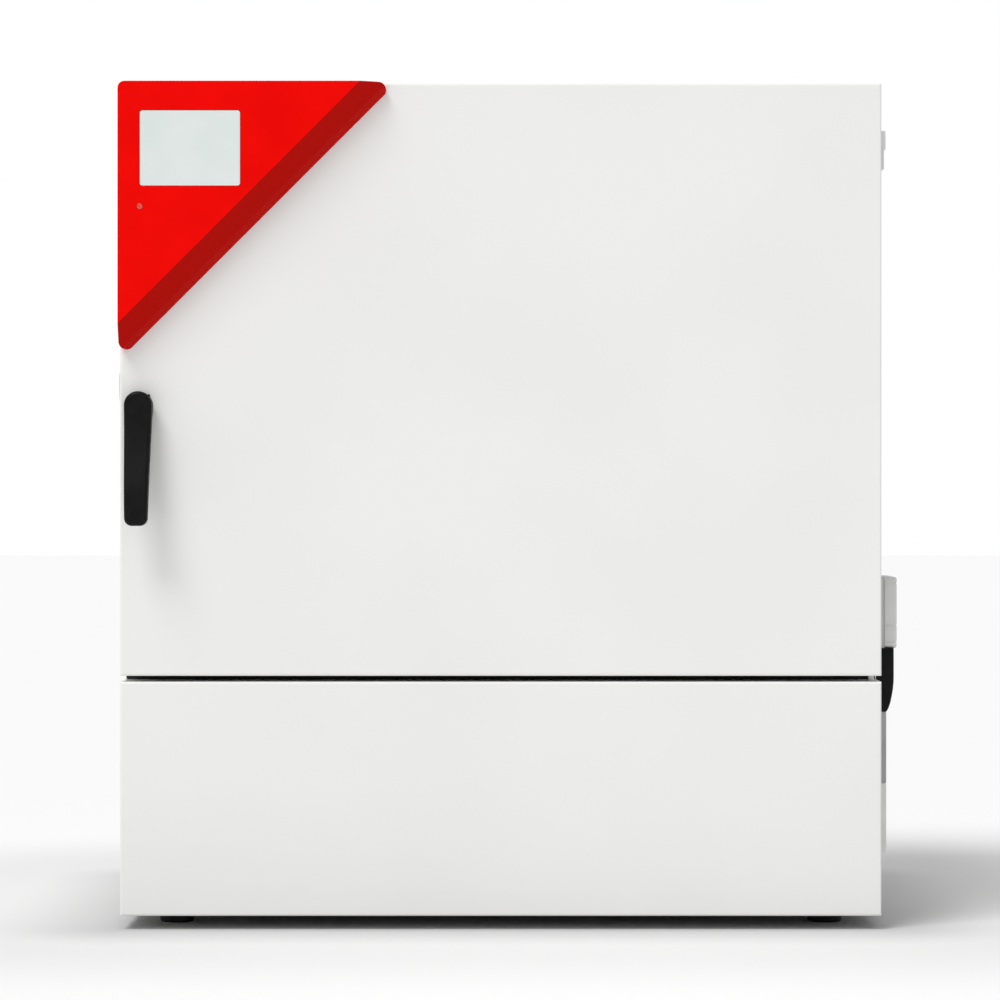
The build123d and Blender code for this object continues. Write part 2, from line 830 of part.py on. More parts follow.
# Foam boards on the five closed sides of the tub, laid with narrow joints
with BuildPart() as insulation:
    board_joint = 0.5
    tub_outer = tub_half + chamber_sheet
    board_y = (mouth_rear, tub_rear + chamber_sheet)
    board_z = (machine_top, top_sheet_bottom)
    slab((side_sheet_left, -tub_outer), board_y, board_z)
    slab((tub_outer, side_sheet_right), board_y, board_z)
    inner_x = (-tub_outer + board_joint, tub_outer - board_joint)
    slab(inner_x, board_y, (machine_top, chamber_floor - chamber_sheet))
    slab(inner_x, board_y, (chamber_top + chamber_sheet, top_sheet_bottom))
    slab(
        (side_sheet_left, side_sheet_right),
        (tub_rear + chamber_sheet + board_joint, rear_sheet_front),
        board_z,
    )
    rod((left, port_y, port_z), (1, 0, 0), port_hole, tub_half, mode=Mode.SUBTRACT)
    rod(
        (0, tub_rear, fan_z), (0, 1, 0), motor_diameter + 2 * fit_gap, plenum_depth * 2, mode=Mode.SUBTRACT
    )
    for x in (steam_x, drain_x):
        rod(
            (x, steam_y, machine_top - 1),
            (0, 0, 1),
            steam_diameter + 2 * fit_gap,
            floor_insulation + 2,
            mode=Mode.SUBTRACT,
        )
    line_margin = line_diameter / 2 + 2 * fit_gap
    slab(
        (line_x - line_margin, line_x + line_spacing + line_margin),
        (tub_rear, line_y + line_margin),
        (machine_top - 1, coil_tube_z[1] + line_margin),
        mode=Mode.SUBTRACT,
    )
finish(insulation, "insulation")


# Air guides, rails and racks inside the chamber

wall_sheet = 1.0
wall_return = 1.2
slot_length = 42.0
slot_width = 6.0
slot_columns = 6
slot_rows = 7
slot_pitch_y = 48.0
slot_pitch_z = 63.0
rack_gap = 12.0  # rack ends to the mouth and to the rear wall
rail_gap = 3.0
rail_length = chamber_length - 2 * rail_gap - wall_return
rack_side = chamber_half - rail_flange / 2 - wall_sheet


def side_wall(side, name):
    """Slotted sheet in front of one air duct, bent outwards at the chamber mouth."""
    inner = side * chamber_half
    with BuildPart() as wall:
        slab(
            (inner, inner + side * wall_sheet),
            (mouth_rear, chamber_rear),
            (chamber_floor, chamber_top),
        )
        slab(
            (inner, side * tub_half),
            (mouth_rear, mouth_rear + wall_return),
            (chamber_floor, chamber_top),
        )
        slot_plane = Plane(
            origin=(inner - side, (mouth_rear + chamber_rear) / 2, fan_z),
            x_dir=(0, 1, 0),
            z_dir=(side, 0, 0),
        )
        with BuildSketch(slot_plane) as slots:
            with GridLocations(slot_pitch_y, slot_pitch_z, slot_columns, slot_rows):
                Rectangle(slot_width, slot_length)
        extrude(slots.sketch, amount=wall_sheet + 2, mode=Mode.SUBTRACT)
        if side < 0:
            rod(
                (inner + 1, port_y, port_z),
                (-1, 0, 0),
                port_hole,
                wall_sheet + 2,
                mode=Mode.SUBTRACT,
            )
    finish(wall, name)


side_wall(-1, "side_wall_left")
side_wall(1, "side_wall_right")

# Sheet between chamber and fan space, pierced with rings of radial slots over the fan
with BuildPart() as rear_wall:
    grille_ring = 26.0
    grille_slot = 20.0
    grille_first = 24.0
    slab(
        (-chamber_half, chamber_half),
        (chamber_rear, chamber_rear + wall_return),
        (chamber_floor, chamber_top),
    )
    with BuildSketch(Plane.XZ.offset(-chamber_rear - wall_return - 1)) as grille:
        for turn, count in enumerate((8, 16, 24)):
            radius = grille_first + turn * grille_ring
            with Locations((0, fan_z)):
                with PolarLocations(radius, count):
                    Rectangle(grille_slot, slot_width)
    extrude(grille.sketch, amount=wall_return + 2, mode=Mode.SUBTRACT)
finish(rear_wall, "rear_wall")

# Angle rails on both side walls
with BuildPart() as shelf_rails:
    for side in (-1, 1):
        wall_x = side * chamber_half
        for level in range(rail_levels):
            rail_z = chamber_floor + rail_start + level * rail_pitch
            rail_y = (mouth_rear + wall_return + rail_gap, mouth_rear + wall_return + rail_gap + rail_length)
            slab((wall_x, wall_x - side * casing_sheet), rail_y, (rail_z - rail_flange, rail_z))
            slab((wall_x, wall_x - side * rail_flange), rail_y, (rail_z - casing_sheet, rail_z))
finish(shelf_rails, "shelf_rails")


def rack(level, name):
    """Welded wire rack that lies on one pair of rails."""
    bar_z = chamber_floor + rail_start + level * rail_pitch + rack_bar / 2
    rack_front = mouth_rear + rack_gap + rack_bar
    rack_rear = chamber_rear - rack_gap - rack_bar
    wires = int(2 * rack_side / rack_pitch)
    wire_rise = (rack_bar + rack_wire) / 2 - rack_wire / 4
    with BuildPart() as piece:
        with BuildSketch(Plane.XY.offset(bar_z)) as outline:
            with Locations((0, (rack_front + rack_rear) / 2)):
                RectangleRounded(2 * rack_side, rack_rear - rack_front, 2 * rack_bar)
        loop = outline.sketch.face().outer_wire()
        with BuildSketch(Plane(origin=loop @ 0, z_dir=loop % 0)) as section:
            Circle(rack_bar / 2)
        sweep(section.sketch, path=loop)
        rod(
            (-rack_side, (rack_front + rack_rear) / 2, bar_z),
            (1, 0, 0),
            rack_bar * 0.8,
            2 * rack_side,
        )
        for wire in range(wires):
            wire_x = (wire - (wires - 1) / 2) * rack_pitch
            rod(
                (wire_x, rack_front - rack_wire / 2, bar_z + wire_rise),
                (0, 1, 0),
                rack_wire,
                rack_rear - rack_front + rack_wire,
            )
    finish(piece, name)


rack(0, "rack_lower")
rack(3, "rack_upper")


# Glass inner door with its seal and hinges

glass_rear = frame_rear - seal_thickness
glass_front = glass_rear - glass_thickness
glass_pin_x = glass_half + hinge_block_width / 2 + 2
glass_pin_y = (glass_front + glass_rear) / 2
knuckle_diameter = 10.0
knuckle_length = 26.0
leaf_sheet = 2.0
leaf_reach = 26.0
leaf_hook = 4.0  # how far the leaf grips behind the glass
grip_depth = 4.5
grip_width = 18.0
grip_height = 70.0
block_front = cabinet_front + 2

# Silicone ring round the chamber mouth, just short of the closed glass
with BuildPart() as glass_door_seal:
    seal_offset = (glass_overlap + seal_width) / 2
    frame_of(
        (-chamber_half - seal_offset, chamber_half + seal_offset),
        (glass_rear + soft_gap, frame_rear),
        (chamber_floor - seal_offset, chamber_top + seal_offset),
        seal_width,
        2 * seal_width,
    )
finish(glass_door_seal, "glass_door_seal")

with BuildPart() as glass_pane:
    slab((-glass_half, glass_half), (glass_front, glass_rear), (glass_bottom, glass_top))
    fillet(glass_pane.edges().filter_by(Axis.Y), glass_thickness)
finish(glass_pane, "glass_pane")

# Steel leaves clamped on both faces of the glass with their knuckles, and the grip
with BuildPart() as glass_fittings:
    lower_knuckle = recess_bottom + hinge_block_height + soft_gap
    upper_knuckle = recess_top - hinge_block_height - soft_gap - knuckle_length
    for knuckle_z in (lower_knuckle, upper_knuckle):
        leaf_z = (knuckle_z, knuckle_z + knuckle_length)
        rod((glass_pin_x, glass_pin_y, knuckle_z), (0, 0, 1), knuckle_diameter, knuckle_length)
        slab((glass_half, glass_pin_x), (glass_front, glass_rear), leaf_z)
        slab((glass_half - leaf_reach, glass_pin_x), (glass_front - leaf_sheet, glass_front), leaf_z)
        slab((glass_half - leaf_hook, glass_pin_x), (glass_rear, glass_rear + leaf_sheet), leaf_z)
        rod(
            (glass_pin_x, glass_pin_y, knuckle_z - 1),
            (0, 0, 1),
            glass_pin_diameter + 2 * running_fit,
            knuckle_length + 2,
            mode=Mode.SUBTRACT,
        )
    slab(
        (-glass_half, -glass_half + grip_width),
        (glass_front - grip_depth, glass_front),
        (fan_z - grip_height / 2, fan_z + grip_height / 2),
    )
finish(glass_fittings, "glass_fittings")

# Two blocks in the corners of the recess with the pins of the glass door
with BuildPart() as glass_hinge_blocks:
    block_x = (glass_pin_x - hinge_block_width / 2 + 2, recess_right)
    for block_z, pin_start, pin_way in (
        ((recess_bottom, recess_bottom + hinge_block_height), recess_bottom + 1, 1),
        ((recess_top - hinge_block_height, recess_top), recess_top - 1, -1),
    ):
        slab(block_x, (block_front, frame_rear), block_z)
        rod(
            (glass_pin_x, glass_pin_y, pin_start),
            (0, 0, pin_way),
            glass_pin_diameter,
            hinge_block_height + knuckle_length,
        )
finish(glass_hinge_blocks, "glass_hinge_blocks")


# Hinges of the outer door

arm_width = 14.0
arm_thickness = 6.0
arm_drop = 5.0  # top hinge arm under the casing's top
hinge_plate = 3.0
hinge_plate_height = 60.0

# Arm screwed under the front frame, with the pin that shows in the gap under the door
with BuildPart() as lower_hinge:
    slab(
        (door_pin_x - arm_width / 2, door_pin_x + arm_width / 2),
        (door_pin_y, frame_rear),
        (frame_bottom - arm_thickness, frame_bottom),
    )
    rod(
        (door_pin_x, door_pin_y, frame_bottom - arm_thickness), (0, 0, 1), arm_width, arm_thickness
    )
    rod(
        (door_pin_x, door_pin_y, frame_bottom),
        (0, 0, 1),
        door_pin_diameter,
        door_bottom - frame_bottom + door_pin_length,
    )
finish(lower_hinge, "lower_hinge")

# Arm on a plate on the front frame, with its pin pointing down into the door
with BuildPart() as upper_hinge:
    arm_z = (top - arm_drop - arm_thickness, top - arm_drop)
    slab(
        (door_pin_x - arm_width / 2, door_pin_x + arm_width / 2),
        (door_pin_y, cabinet_front),
        arm_z,
    )
    slab(
        (door_pin_x - arm_width / 2, door_pin_x + arm_width / 2),
        (cabinet_front - hinge_plate, cabinet_front),
        (arm_z[0] - hinge_plate_height, arm_z[1]),
    )
    rod((door_pin_x, door_pin_y, arm_z[0]), (0, 0, 1), arm_width, arm_thickness)
    rod(
        (door_pin_x, door_pin_y, arm_z[0]),
        (0, 0, -1),
        door_pin_diameter,
        arm_z[0] - (top - hinge_notch_height) + door_pin_length,
    )
finish(upper_hinge, "upper_hinge")


# Circulation fan, heater and evaporator behind the chamber

fan_front = chamber_rear + wall_return + 8
fan_rear = fan_front + fan_width
fan_hub = 30.0
blade_inner = 46.0
blade_sheet = 1.5
shaft_end = motor_y + 60
motor_flange = 8.0
motor_neck = 62.0
motor_neck_length = 36.0
heater_radius = 112.0
heater_tube = 8.0
heater_sweep = 310.0

# Flanged motor in the rear board, its flange on the tub's back and its end on the rear sheet
with BuildPart() as fan_motor:
    rod((0, motor_y, fan_z), (0, 1, 0), motor_diameter, motor_flange)
    rod((0, motor_y, fan_z), (0, 1, 0), motor_neck, motor_neck_length)
    rod(
        (0, motor_y + motor_neck_length, fan_z),
        (0, 1, 0),
        motor_diameter,
        rear_sheet_front - motor_y - motor_neck_length,
    )
    rod(
        (0, motor_y - 1, fan_z),
        (0, 1, 0),
        fan_shaft_diameter + 2 * running_fit,
        shaft_end - motor_y + 2,
        mode=Mode.SUBTRACT,
    )
finish(fan_motor, "fan_motor")

# Radial wheel: rear disc, curved blades and front ring, welded to its hub and shaft
with BuildPart() as fan_impeller:
    rod((0, fan_front + blade_sheet, fan_z), (0, 1, 0), fan_hub, fan_width)
    rod((0, fan_rear - blade_sheet, fan_z), (0, 1, 0), fan_diameter, blade_sheet)
    ring((0, fan_front, fan_z), (0, 1, 0), fan_diameter, 2 * blade_inner + 8, blade_sheet)
    rod((0, fan_front + fan_width / 2, fan_z), (0, 1, 0), fan_shaft_diameter, shaft_end - fan_front - fan_width / 2)
    blade_outer = fan_diameter / 2 - 4
    with BuildSketch(mode=Mode.PRIVATE) as blade:
        with BuildLine():
            outer_arc = ThreePointArc(
                (blade_inner, 0),
                ((blade_inner + blade_outer) / 2, blade_inner / 6),
                (blade_outer, blade_inner / 2),
            )
            inner_arc = ThreePointArc(
                (blade_inner, blade_sheet),
                ((blade_inner + blade_outer) / 2, blade_inner / 6 + blade_sheet),
                (blade_outer - blade_sheet, blade_inner / 2 + blade_sheet / 2),
            )
            Line(outer_arc @ 0, inner_arc @ 0)
            Line(outer_arc @ 1, inner_arc @ 1)
        make_face()
    with BuildSketch(Plane.XZ.offset(-fan_rear + blade_sheet)) as blades:
        with Locations((0, fan_z)):
            with PolarLocations(0, fan_blades):
                add(blade.sketch)
    extrude(blades.sketch, amount=fan_width - 2 * blade_sheet)
finish(fan_impeller, "fan_impeller")

# Tubular heater bent round the wheel, both ends through the tub's back
with BuildPart() as heater_element:
    heater_y = fan_rear + 24
    with BuildLine(Plane.XZ.offset(-heater_y)) as heater_path:
        CenterArc((0, fan_z), heater_radius, -90 + (360 - heater_sweep) / 2, heater_sweep)
    with BuildSketch(
        Plane(origin=heater_path.line @ 0, z_dir=heater_path.line % 0)
    ) as heater_section:
        Circle(heater_tube / 2)
    sweep(heater_section.sketch, path=heater_path.line)
    for place in (0, 1):
        end = heater_path.line @ place
        rod((end.X, heater_y - heater_tube / 2, end.Z), (0, 1, 0), heater_tube, tub_rear - heater_y + heater_tube / 2)
finish(heater_element, "heater_element")

# Finned coil on two end plates under the roof of the fan space
with BuildPart() as evaporator:
    for fin in range(coil_fins):
        fin_x = (fin - (coil_fins - 1) / 2) * coil_pitch
        slab(
            (fin_x, fin_x + coil_fin_sheet),
            (coil_y - coil_depth / 2, coil_y + coil_depth / 2),
            (coil_z - coil_height / 2, coil_z + coil_height / 2),
        )
    for side in (-1, 1):
        plate_x = side * coil_length / 2
        slab(
            (plate_x, plate_x - side * coil_fin_sheet),
            (coil_y - coil_depth / 2, tub_rear),
            (coil_z - coil_height / 2, coil_z + coil_height / 2),
        )
    for tube_z in coil_tube_z:
        rod((-coil_length / 2, coil_y, tube_z), (1, 0, 0), line_diameter, coil_length)
finish(evaporator, "evaporator")

# Combined air sensors: a slotted humidity probe and a thin temperature probe on the rear wall
with BuildPart() as climate_sensors:
    probe_z = chamber_top - 60
    probe_length = 70.0
    for probe_x, probe_diameter in ((chamber_half - 60, 12.0), (chamber_half - 90, 5.0)):
        rod((probe_x, chamber_rear, probe_z), (0, -1, 0), probe_diameter + 8, 6)
        rod((probe_x, chamber_rear, probe_z), (0, -1, 0), probe_diameter, probe_length)
finish(climate_sensors, "climate_sensors")


# Machine space

floor_z = bottom + casing_sheet
compressor_x = line_x + line_spacing
compressor_base = 12.0
condenser_y = rear_sheet_front - condenser_rear_gap - condenser_depth
condenser_x = side_sheet_right - condenser_side_gap - condenser_width / 2
compressor_y = condenser_y - compressor_gap - compressor_diameter / 2
condenser_fins = 14
condenser_feet = 14.0
condenser_middle = floor_z + condenser_feet + condenser_height / 2
shroud_depth = 32.0
shroud_wall = 3.0
shroud_y = condenser_y - shroud_depth
boiler_diameter = 110.0
boiler_height = 200.0
nozzle_rise = 80.0

# Hermetic compressor on its foot plate
with BuildPart() as compressor:
    shell_radius = compressor_diameter / 2
    rod(
        (compressor_x, compressor_y, floor_z + compressor_base),
        (0, 0, 1),
        compressor_diameter,
        compressor_height - compressor_base,
    )
    shell_rims = compressor.edges().filter_by(GeomType.CIRCLE).group_by(Axis.Z)
    fillet(shell_rims[-1], radius=shell_radius * 0.55)
    fillet(shell_rims[0], radius=shell_radius * 0.2)
    slab(
        (compressor_x - shell_radius, compressor_x + shell_radius),
        (compressor_y - shell_radius, compressor_y + shell_radius),
        (floor_z + compressor_base, floor_z + compressor_base + 2 * casing_sheet),
    )
    foot_reach = shell_radius - compressor_base
    for x in (compressor_x - foot_reach, compressor_x + foot_reach):
        for y in (compressor_y - foot_reach, compressor_y + foot_reach):
            rod((x, y, floor_z), (0, 0, 1), compressor_base, compressor_base + 1)
finish(compressor, "compressor")

# Finned condenser on two feet behind the grille
with BuildPart() as condenser:
    condenser_y_limits = (condenser_y, condenser_y + condenser_depth)
    fin_z = (floor_z + condenser_feet, floor_z + condenser_feet + condenser_height)
    for fin in range(condenser_fins):
        fin_x = condenser_x + (fin - (condenser_fins - 1) / 2) * condenser_width / condenser_fins
        slab((fin_x, fin_x + coil_fin_sheet), condenser_y_limits, fin_z)
    for side in (-1, 1):
        plate_x = condenser_x + side * condenser_width / 2
        slab((plate_x, plate_x - side * coil_fin_sheet), condenser_y_limits, (floor_z, fin_z[1]))
    for tube_z in (condenser_middle - condenser_height / 4, condenser_middle + condenser_height / 4):
        rod(
            (condenser_x - condenser_width / 2, condenser_y + condenser_depth / 2, tube_z),
            (1, 0, 0),
            line_diameter,
            condenser_width,
        )
    slab(
        (condenser_x - condenser_width / 2, condenser_x + condenser_width / 2),
        condenser_y_limits,
        (fin_z[1] - coil_fin_sheet, fin_z[1]),
    )
finish(condenser, "condenser")

# Square shroud on the condenser, with the small motor on four struts
with BuildPart() as condenser_fan_frame:
    shroud_half = condenser_height / 2
    shroud_hole = condenser_fan_diameter + 8
    fan_motor_diameter = 54.0
    fan_motor_length = 30.0
    strut = 5.0
    slab(
        (condenser_x - shroud_half, condenser_x + shroud_half),
        (shroud_y, condenser_y),
        (condenser_middle - shroud_half, condenser_middle + shroud_half),
    )
    rod(
        (condenser_x, shroud_y - 1, condenser_middle),
        (0, 1, 0),
        shroud_hole,
        shroud_depth + 2,
        mode=Mode.SUBTRACT,
    )
    with BuildSketch(Plane.XZ.offset(-shroud_y)) as struts:
        with Locations((condenser_x, condenser_middle)):
            Rectangle(shroud_hole + 2 * strut, strut, rotation=45)
            Rectangle(shroud_hole + 2 * strut, strut, rotation=-45)
    extrude(struts.sketch, amount=strut)
    rod(
        (condenser_x, shroud_y, condenser_middle),
        (0, -1, 0),
        fan_motor_diameter,
        fan_motor_length,
    )
    rod(
        (condenser_x, shroud_y + 1, condenser_middle),
        (0, -1, 0),
        strut + 2 * running_fit,
        fan_motor_length / 2,
        mode=Mode.SUBTRACT,
    )
finish(condenser_fan_frame, "condenser_fan_frame")

# Five-bladed axial fan on a short shaft
with BuildPart() as condenser_fan:
    fan_gap = 3.0
    axial_hub = 50.0
    axial_hub_length = 20.0
    axial_blades = 5
    axial_pitch = 32.0
    hub_y = shroud_y + fan_gap
    rod((condenser_x, hub_y, condenser_middle), (0, 1, 0), axial_hub, axial_hub_length)
    rod(
        (condenser_x, hub_y, condenser_middle),
        (0, -1, 0),
        strut,
        fan_gap + fan_motor_length / 2 - 2,
    )
    blade_reach = condenser_fan_diameter / 2 - 2
    for blade_number in range(axial_blades):
        turn = blade_number * 360 / axial_blades
        hub_middle = Location((condenser_x, hub_y + axial_hub_length / 2, condenser_middle))
        blade_plane = Plane(
            hub_middle * Rotation(90, 0, 0) * Rotation(0, 0, turn) * Rotation(axial_pitch, 0, 0)
        )
        with BuildSketch(blade_plane) as blade_outline:
            with BuildLine():
                Polyline(
                    (axial_hub / 2 - 4, -9),
                    (blade_reach, -22),
                    (blade_reach, 12),
                    (axial_hub / 2 - 4, 9),
                    close=True,
                )
            make_face()
        extrude(blade_outline.sketch, amount=blade_sheet)
finish(condenser_fan, "condenser_fan")

# Steam boiler with the pipe that rises through the chamber floor
with BuildPart() as steam_humidifier:
    rod((steam_x, steam_y, floor_z), (0, 0, 1), boiler_diameter, boiler_height)
    chamfer(steam_humidifier.faces().sort_by(Axis.Z)[-1].edges(), boiler_diameter / 10)
    rod(
        (steam_x, steam_y, floor_z + boiler_height - 1),
        (0, 0, 1),
        steam_diameter,
        chamber_floor + nozzle_rise - floor_z - boiler_height + 1,
    )
finish(steam_humidifier, "steam_humidifier")

with BuildPart() as electronics_box:
    box_left = side_sheet_left + electronics_gap
    box_front = cabinet_front + electronics_gap
    slab(
        (box_left, box_left + electronics_width),
        (box_front, box_front + electronics_depth),
        (floor_z, floor_z + electronics_height),
    )
    fillet(electronics_box.edges().filter_by(Axis.Z), 4)
    offset(amount=-2 * casing_sheet, openings=electronics_box.faces().sort_by(Axis.Z)[0])
finish(electronics_box, "electronics_box")

# Copper lines: two to the evaporator and one from the compressor to the condenser
with BuildPart() as refrigerant_lines:
    line_bend = 20.0
    compressor_top = floor_z + compressor_height
    condenser_top = floor_z + condenser_feet + condenser_height
    line_level = machine_top - 34
    coil_back = coil_y + line_diameter / 2
    pipe(
        [
            (line_x, line_y, condenser_top),
            (line_x, line_y, coil_tube_z[0]),
            (line_x, coil_back, coil_tube_z[0]),
        ],
        line_bend,
        line_diameter,
    )
    pipe(
        [
            (compressor_x, compressor_y, compressor_top),
            (compressor_x, compressor_y, line_level),
            (compressor_x, line_y, line_level),
            (compressor_x, line_y, coil_tube_z[1]),
            (compressor_x, coil_back, coil_tube_z[1]),
        ],
        line_bend,
        line_diameter,
    )
finish(refrigerant_lines, "refrigerant_lines")


# Rear sheets

grille_top = machine_top
louvre_width = 150.0
louvre_pitch = 17.0
louvre_rows = 12
louvre_height = 8.0
louvre_depth = 7.0
screw_inset = 12.0
spigot_z = floor_z + 55

with BuildPart() as rear_panel:
    slab((left, right), (rear_sheet_front, rear), (grille_top, top))
finish(rear_panel, "rear_panel")

# Lower rear sheet, its louvres pressed outwards behind the condenser
with BuildPart() as machine_grille:
    slab((left, right), (rear_sheet_front, rear), (bottom, grille_top))
    for column in (-1, 1):
        louvre_x = condenser_x + column * (louvre_width + louvre_pitch) / 2
        for row in range(louvre_rows):
            louvre_z = condenser_middle + (row - (louvre_rows - 1) / 2) * louvre_pitch
            slab(
                (louvre_x - louvre_width / 2, louvre_x + louvre_width / 2),
                (rear_sheet_front - 1, rear + 1),
                (louvre_z - louvre_height / 2, louvre_z + louvre_height / 2),
                mode=Mode.SUBTRACT,
            )
            with BuildSketch(Plane.YZ.offset(louvre_x - louvre_width / 2)) as hood:
                with BuildLine():
                    Polyline(
                        (rear_sheet_front, louvre_z + louvre_height / 2),
                        (rear, louvre_z + louvre_height / 2 + casing_sheet),
                        (rear + louvre_depth, louvre_z - louvre_height / 2 + casing_sheet),
                        (rear + louvre_depth, louvre_z - louvre_height / 2),
                        close=True,
                    )
                make_face()
            extrude(hood.sketch, amount=louvre_width)
    for hole_x in (steam_x, drain_x):
        rod(
            (hole_x, rear_sheet_front - 1, spigot_z),
            (0, 1, 0),
            hose_tail_diameter + 2 * fit_gap,
            casing_sheet + 2,
            mode=Mode.SUBTRACT,
        )
finish(machine_grille, "machine_grille")

# Pan-head screws of the two rear sheets
with BuildPart() as rear_screws:
    with BuildSketch(Plane.XZ.offset(-rear - screw_head_height)) as heads:
        for side in (-1, 1):
            screw_x = side * (right - screw_inset)
            for step in range(5):
                screw_z = grille_top + screw_inset + step * (top - grille_top - 2 * screw_inset) / 4
                with Locations((screw_x, screw_z)):
                    Circle(screw_head_diameter / 2)
            for screw_z in (bottom + screw_inset, grille_top - screw_inset):
                with Locations((screw_x, screw_z)):
                    Circle(screw_head_diameter / 2)
    extrude(heads.sketch, amount=screw_head_height)
    chamfer(rear_screws.faces().filter_by(Axis.Y).sort_by(Axis.Y)[-14:].edges(), screw_head_height / 4)
finish(rear_screws, "rear_screws")

# Feed and drain pipes with their hose tails behind the rear sheet
with BuildPart() as water_connections:
    tail_collar = 6.0
    tail_plain = 15.0  # smooth length that a hose clamp closes on
    tail_barb = 1.2
    barb_pitch = 9.0
    barbs = 3
    plain_end = rear + tail_collar + tail_plain
    rod(
        (steam_x, steam_y + boiler_diameter / 2, spigot_z),
        (0, 1, 0),
        hose_tail_diameter,
        plain_end - steam_y - boiler_diameter / 2,
    )
    pipe(
        [
            (drain_x, steam_y, chamber_floor),
            (drain_x, steam_y, spigot_z),
            (drain_x, plain_end, spigot_z),
        ],
        2 * hose_tail_diameter,
        hose_tail_diameter,
    )
    for tail_x in (steam_x, drain_x):
        rod((tail_x, rear, spigot_z), (0, 1, 0), 2 * hose_tail_diameter, tail_collar)
        rod(
            (tail_x, plain_end - 1, spigot_z),
            (0, 1, 0),
            hose_tail_diameter - 2 * tail_barb,
            rear + rear_reach - plain_end + 1,
        )
        for barb in range(barbs):
            barb_y = rear + rear_reach - barb_pitch / 2 - barb * barb_pitch
            with BuildSketch(Plane.XZ.offset(-barb_y)) as barb_base:
                with Locations((tail_x, spigot_z)):
                    Circle(hose_tail_diameter / 2)
            extrude(barb_base.sketch, amount=-barb_pitch / 2, taper=14)
finish(water_connections, "water_connections")

# Cable gland in the rear sheet
with BuildPart() as mains_inlet:
    gland_x = left + 110
    gland_size = 24.0
    with BuildSketch(Plane.XZ.offset(-rear - 10)) as gland_nut:
        with Locations((gland_x, spigot_z)):
            RegularPolygon(gland_size / 2, 6)
    extrude(gland_nut.sketch, amount=10)
    rod((gland_x, rear, spigot_z), (0, 1, 0), gland_size * 0.75, 22)
    chamfer(mains_inlet.faces().sort_by(Axis.Y)[-1].edges(), 3)
    rod((gland_x, rear + 8, spigot_z), (0, 1, 0), 8, 30, mode=Mode.SUBTRACT)
finish(mains_inlet, "mains_inlet")


# Service pieces on the right side

service_y = (front + service_setback, front + service_setback + service_depth)
box_bottom = cover_top + service_rise
box_top = box_bottom + service_box_height
neck_reach = 11.0  # narrower base of the service box
groove_depth = 1.0
groove_height = 1.6
groove_heights = (6.0, 26.0, 75.0)  # above the bottom of the service box
neck_step = 3.0
switch_height = 30.0
switch_width = 22.0
switch_depth = 11.0
switch_pin = 3.0
switch_pin_end = 4.0  # how far the rocker's pin enters the box on each side
switch_z = (box_top + box_bottom) / 2 + 6
switch_y = (service_y[0] + service_y[1]) / 2
rocker_x = right + service_reach - switch_depth / 2 - 1.5
rocker_pin = (rocker_x - 1, switch_y - switch_width / 2 - switch_pin_end, switch_z)
hood_height = 75.0
hood_reach = 21.5
interface_height = 84.0
strip_reach = 12.7
blank_height = 81.0
wiring_drop = 48.0
wiring_height = 45.0
wiring_reach = 12.0
wiring_step = 2.2

# Moulded box with a narrower base, three joint lines and a well for the rocker switch
with BuildPart() as service_box:
    slab(
        (right, right + neck_reach),
        (service_y[0] + neck_step, service_y[1] - neck_step),
        (box_bottom, box_top - neck_step),
    )
    with BuildSketch(Plane.YZ.offset(right + neck_reach)) as box_outline:
        with Locations(((service_y[0] + service_y[1]) / 2, (box_top + box_bottom) / 2)):
            RectangleRounded(service_depth, service_box_height, 2 * neck_step)
    extrude(box_outline.sketch, amount=service_reach - neck_reach)
    fillet(service_box.faces().sort_by(Axis.X)[-1].edges(), neck_step / 2)
    for groove_rise in groove_heights:
        for groove_y in (service_y[0], service_y[1] - groove_depth):
            slab(
                (right + neck_reach - 1, right + service_reach + 1),
                (groove_y, groove_y + groove_depth),
                (box_bottom + groove_rise, box_bottom + groove_rise + groove_height),
                mode=Mode.SUBTRACT,
            )
        slab(
            (right + service_reach - groove_depth, right + service_reach + 1),
            service_y,
            (box_bottom + groove_rise, box_bottom + groove_rise + groove_height),
            mode=Mode.SUBTRACT,
        )
    slab(
        (right + service_reach - switch_depth - 2, right + service_reach + 1),
        (switch_y - switch_width / 2 - fit_gap, switch_y + switch_width / 2 + fit_gap),
        (switch_z - switch_height / 2 - 2 * fit_gap, switch_z + switch_height / 2 + 2 * fit_gap),
        mode=Mode.SUBTRACT,
    )
    rod(
        rocker_pin,
        (0, 1, 0),
        switch_pin + 2 * running_fit,
        switch_width + 2 * switch_pin_end,
        mode=Mode.SUBTRACT,
    )
finish(service_box, "service_box")

# Rocker on its cross pin, tipped at rest, with the pin's ends in the walls of the well
with BuildPart() as main_switch:
    with BuildSketch(Plane.XZ.offset(-switch_y - switch_width / 2)) as rocker:
        with BuildLine():
            Polyline(
                (rocker_x - 3, switch_z - switch_height / 2 + 3),
                (rocker_x + switch_depth / 2 - 2.5, switch_z - switch_height / 2 + 1.5),
                (rocker_x + switch_depth / 2 - 1.5, switch_z),
                (rocker_x + switch_depth / 2 + 1.5, switch_z + switch_height / 2 - 1.5),
                (rocker_x - 1, switch_z + switch_height / 2 - 3),
                close=True,
            )
        make_face()
    extrude(rocker.sketch, amount=switch_width)
    rod(rocker_pin, (0, 1, 0), switch_pin, switch_width + 2 * switch_pin_end)
finish(main_switch, "main_switch")

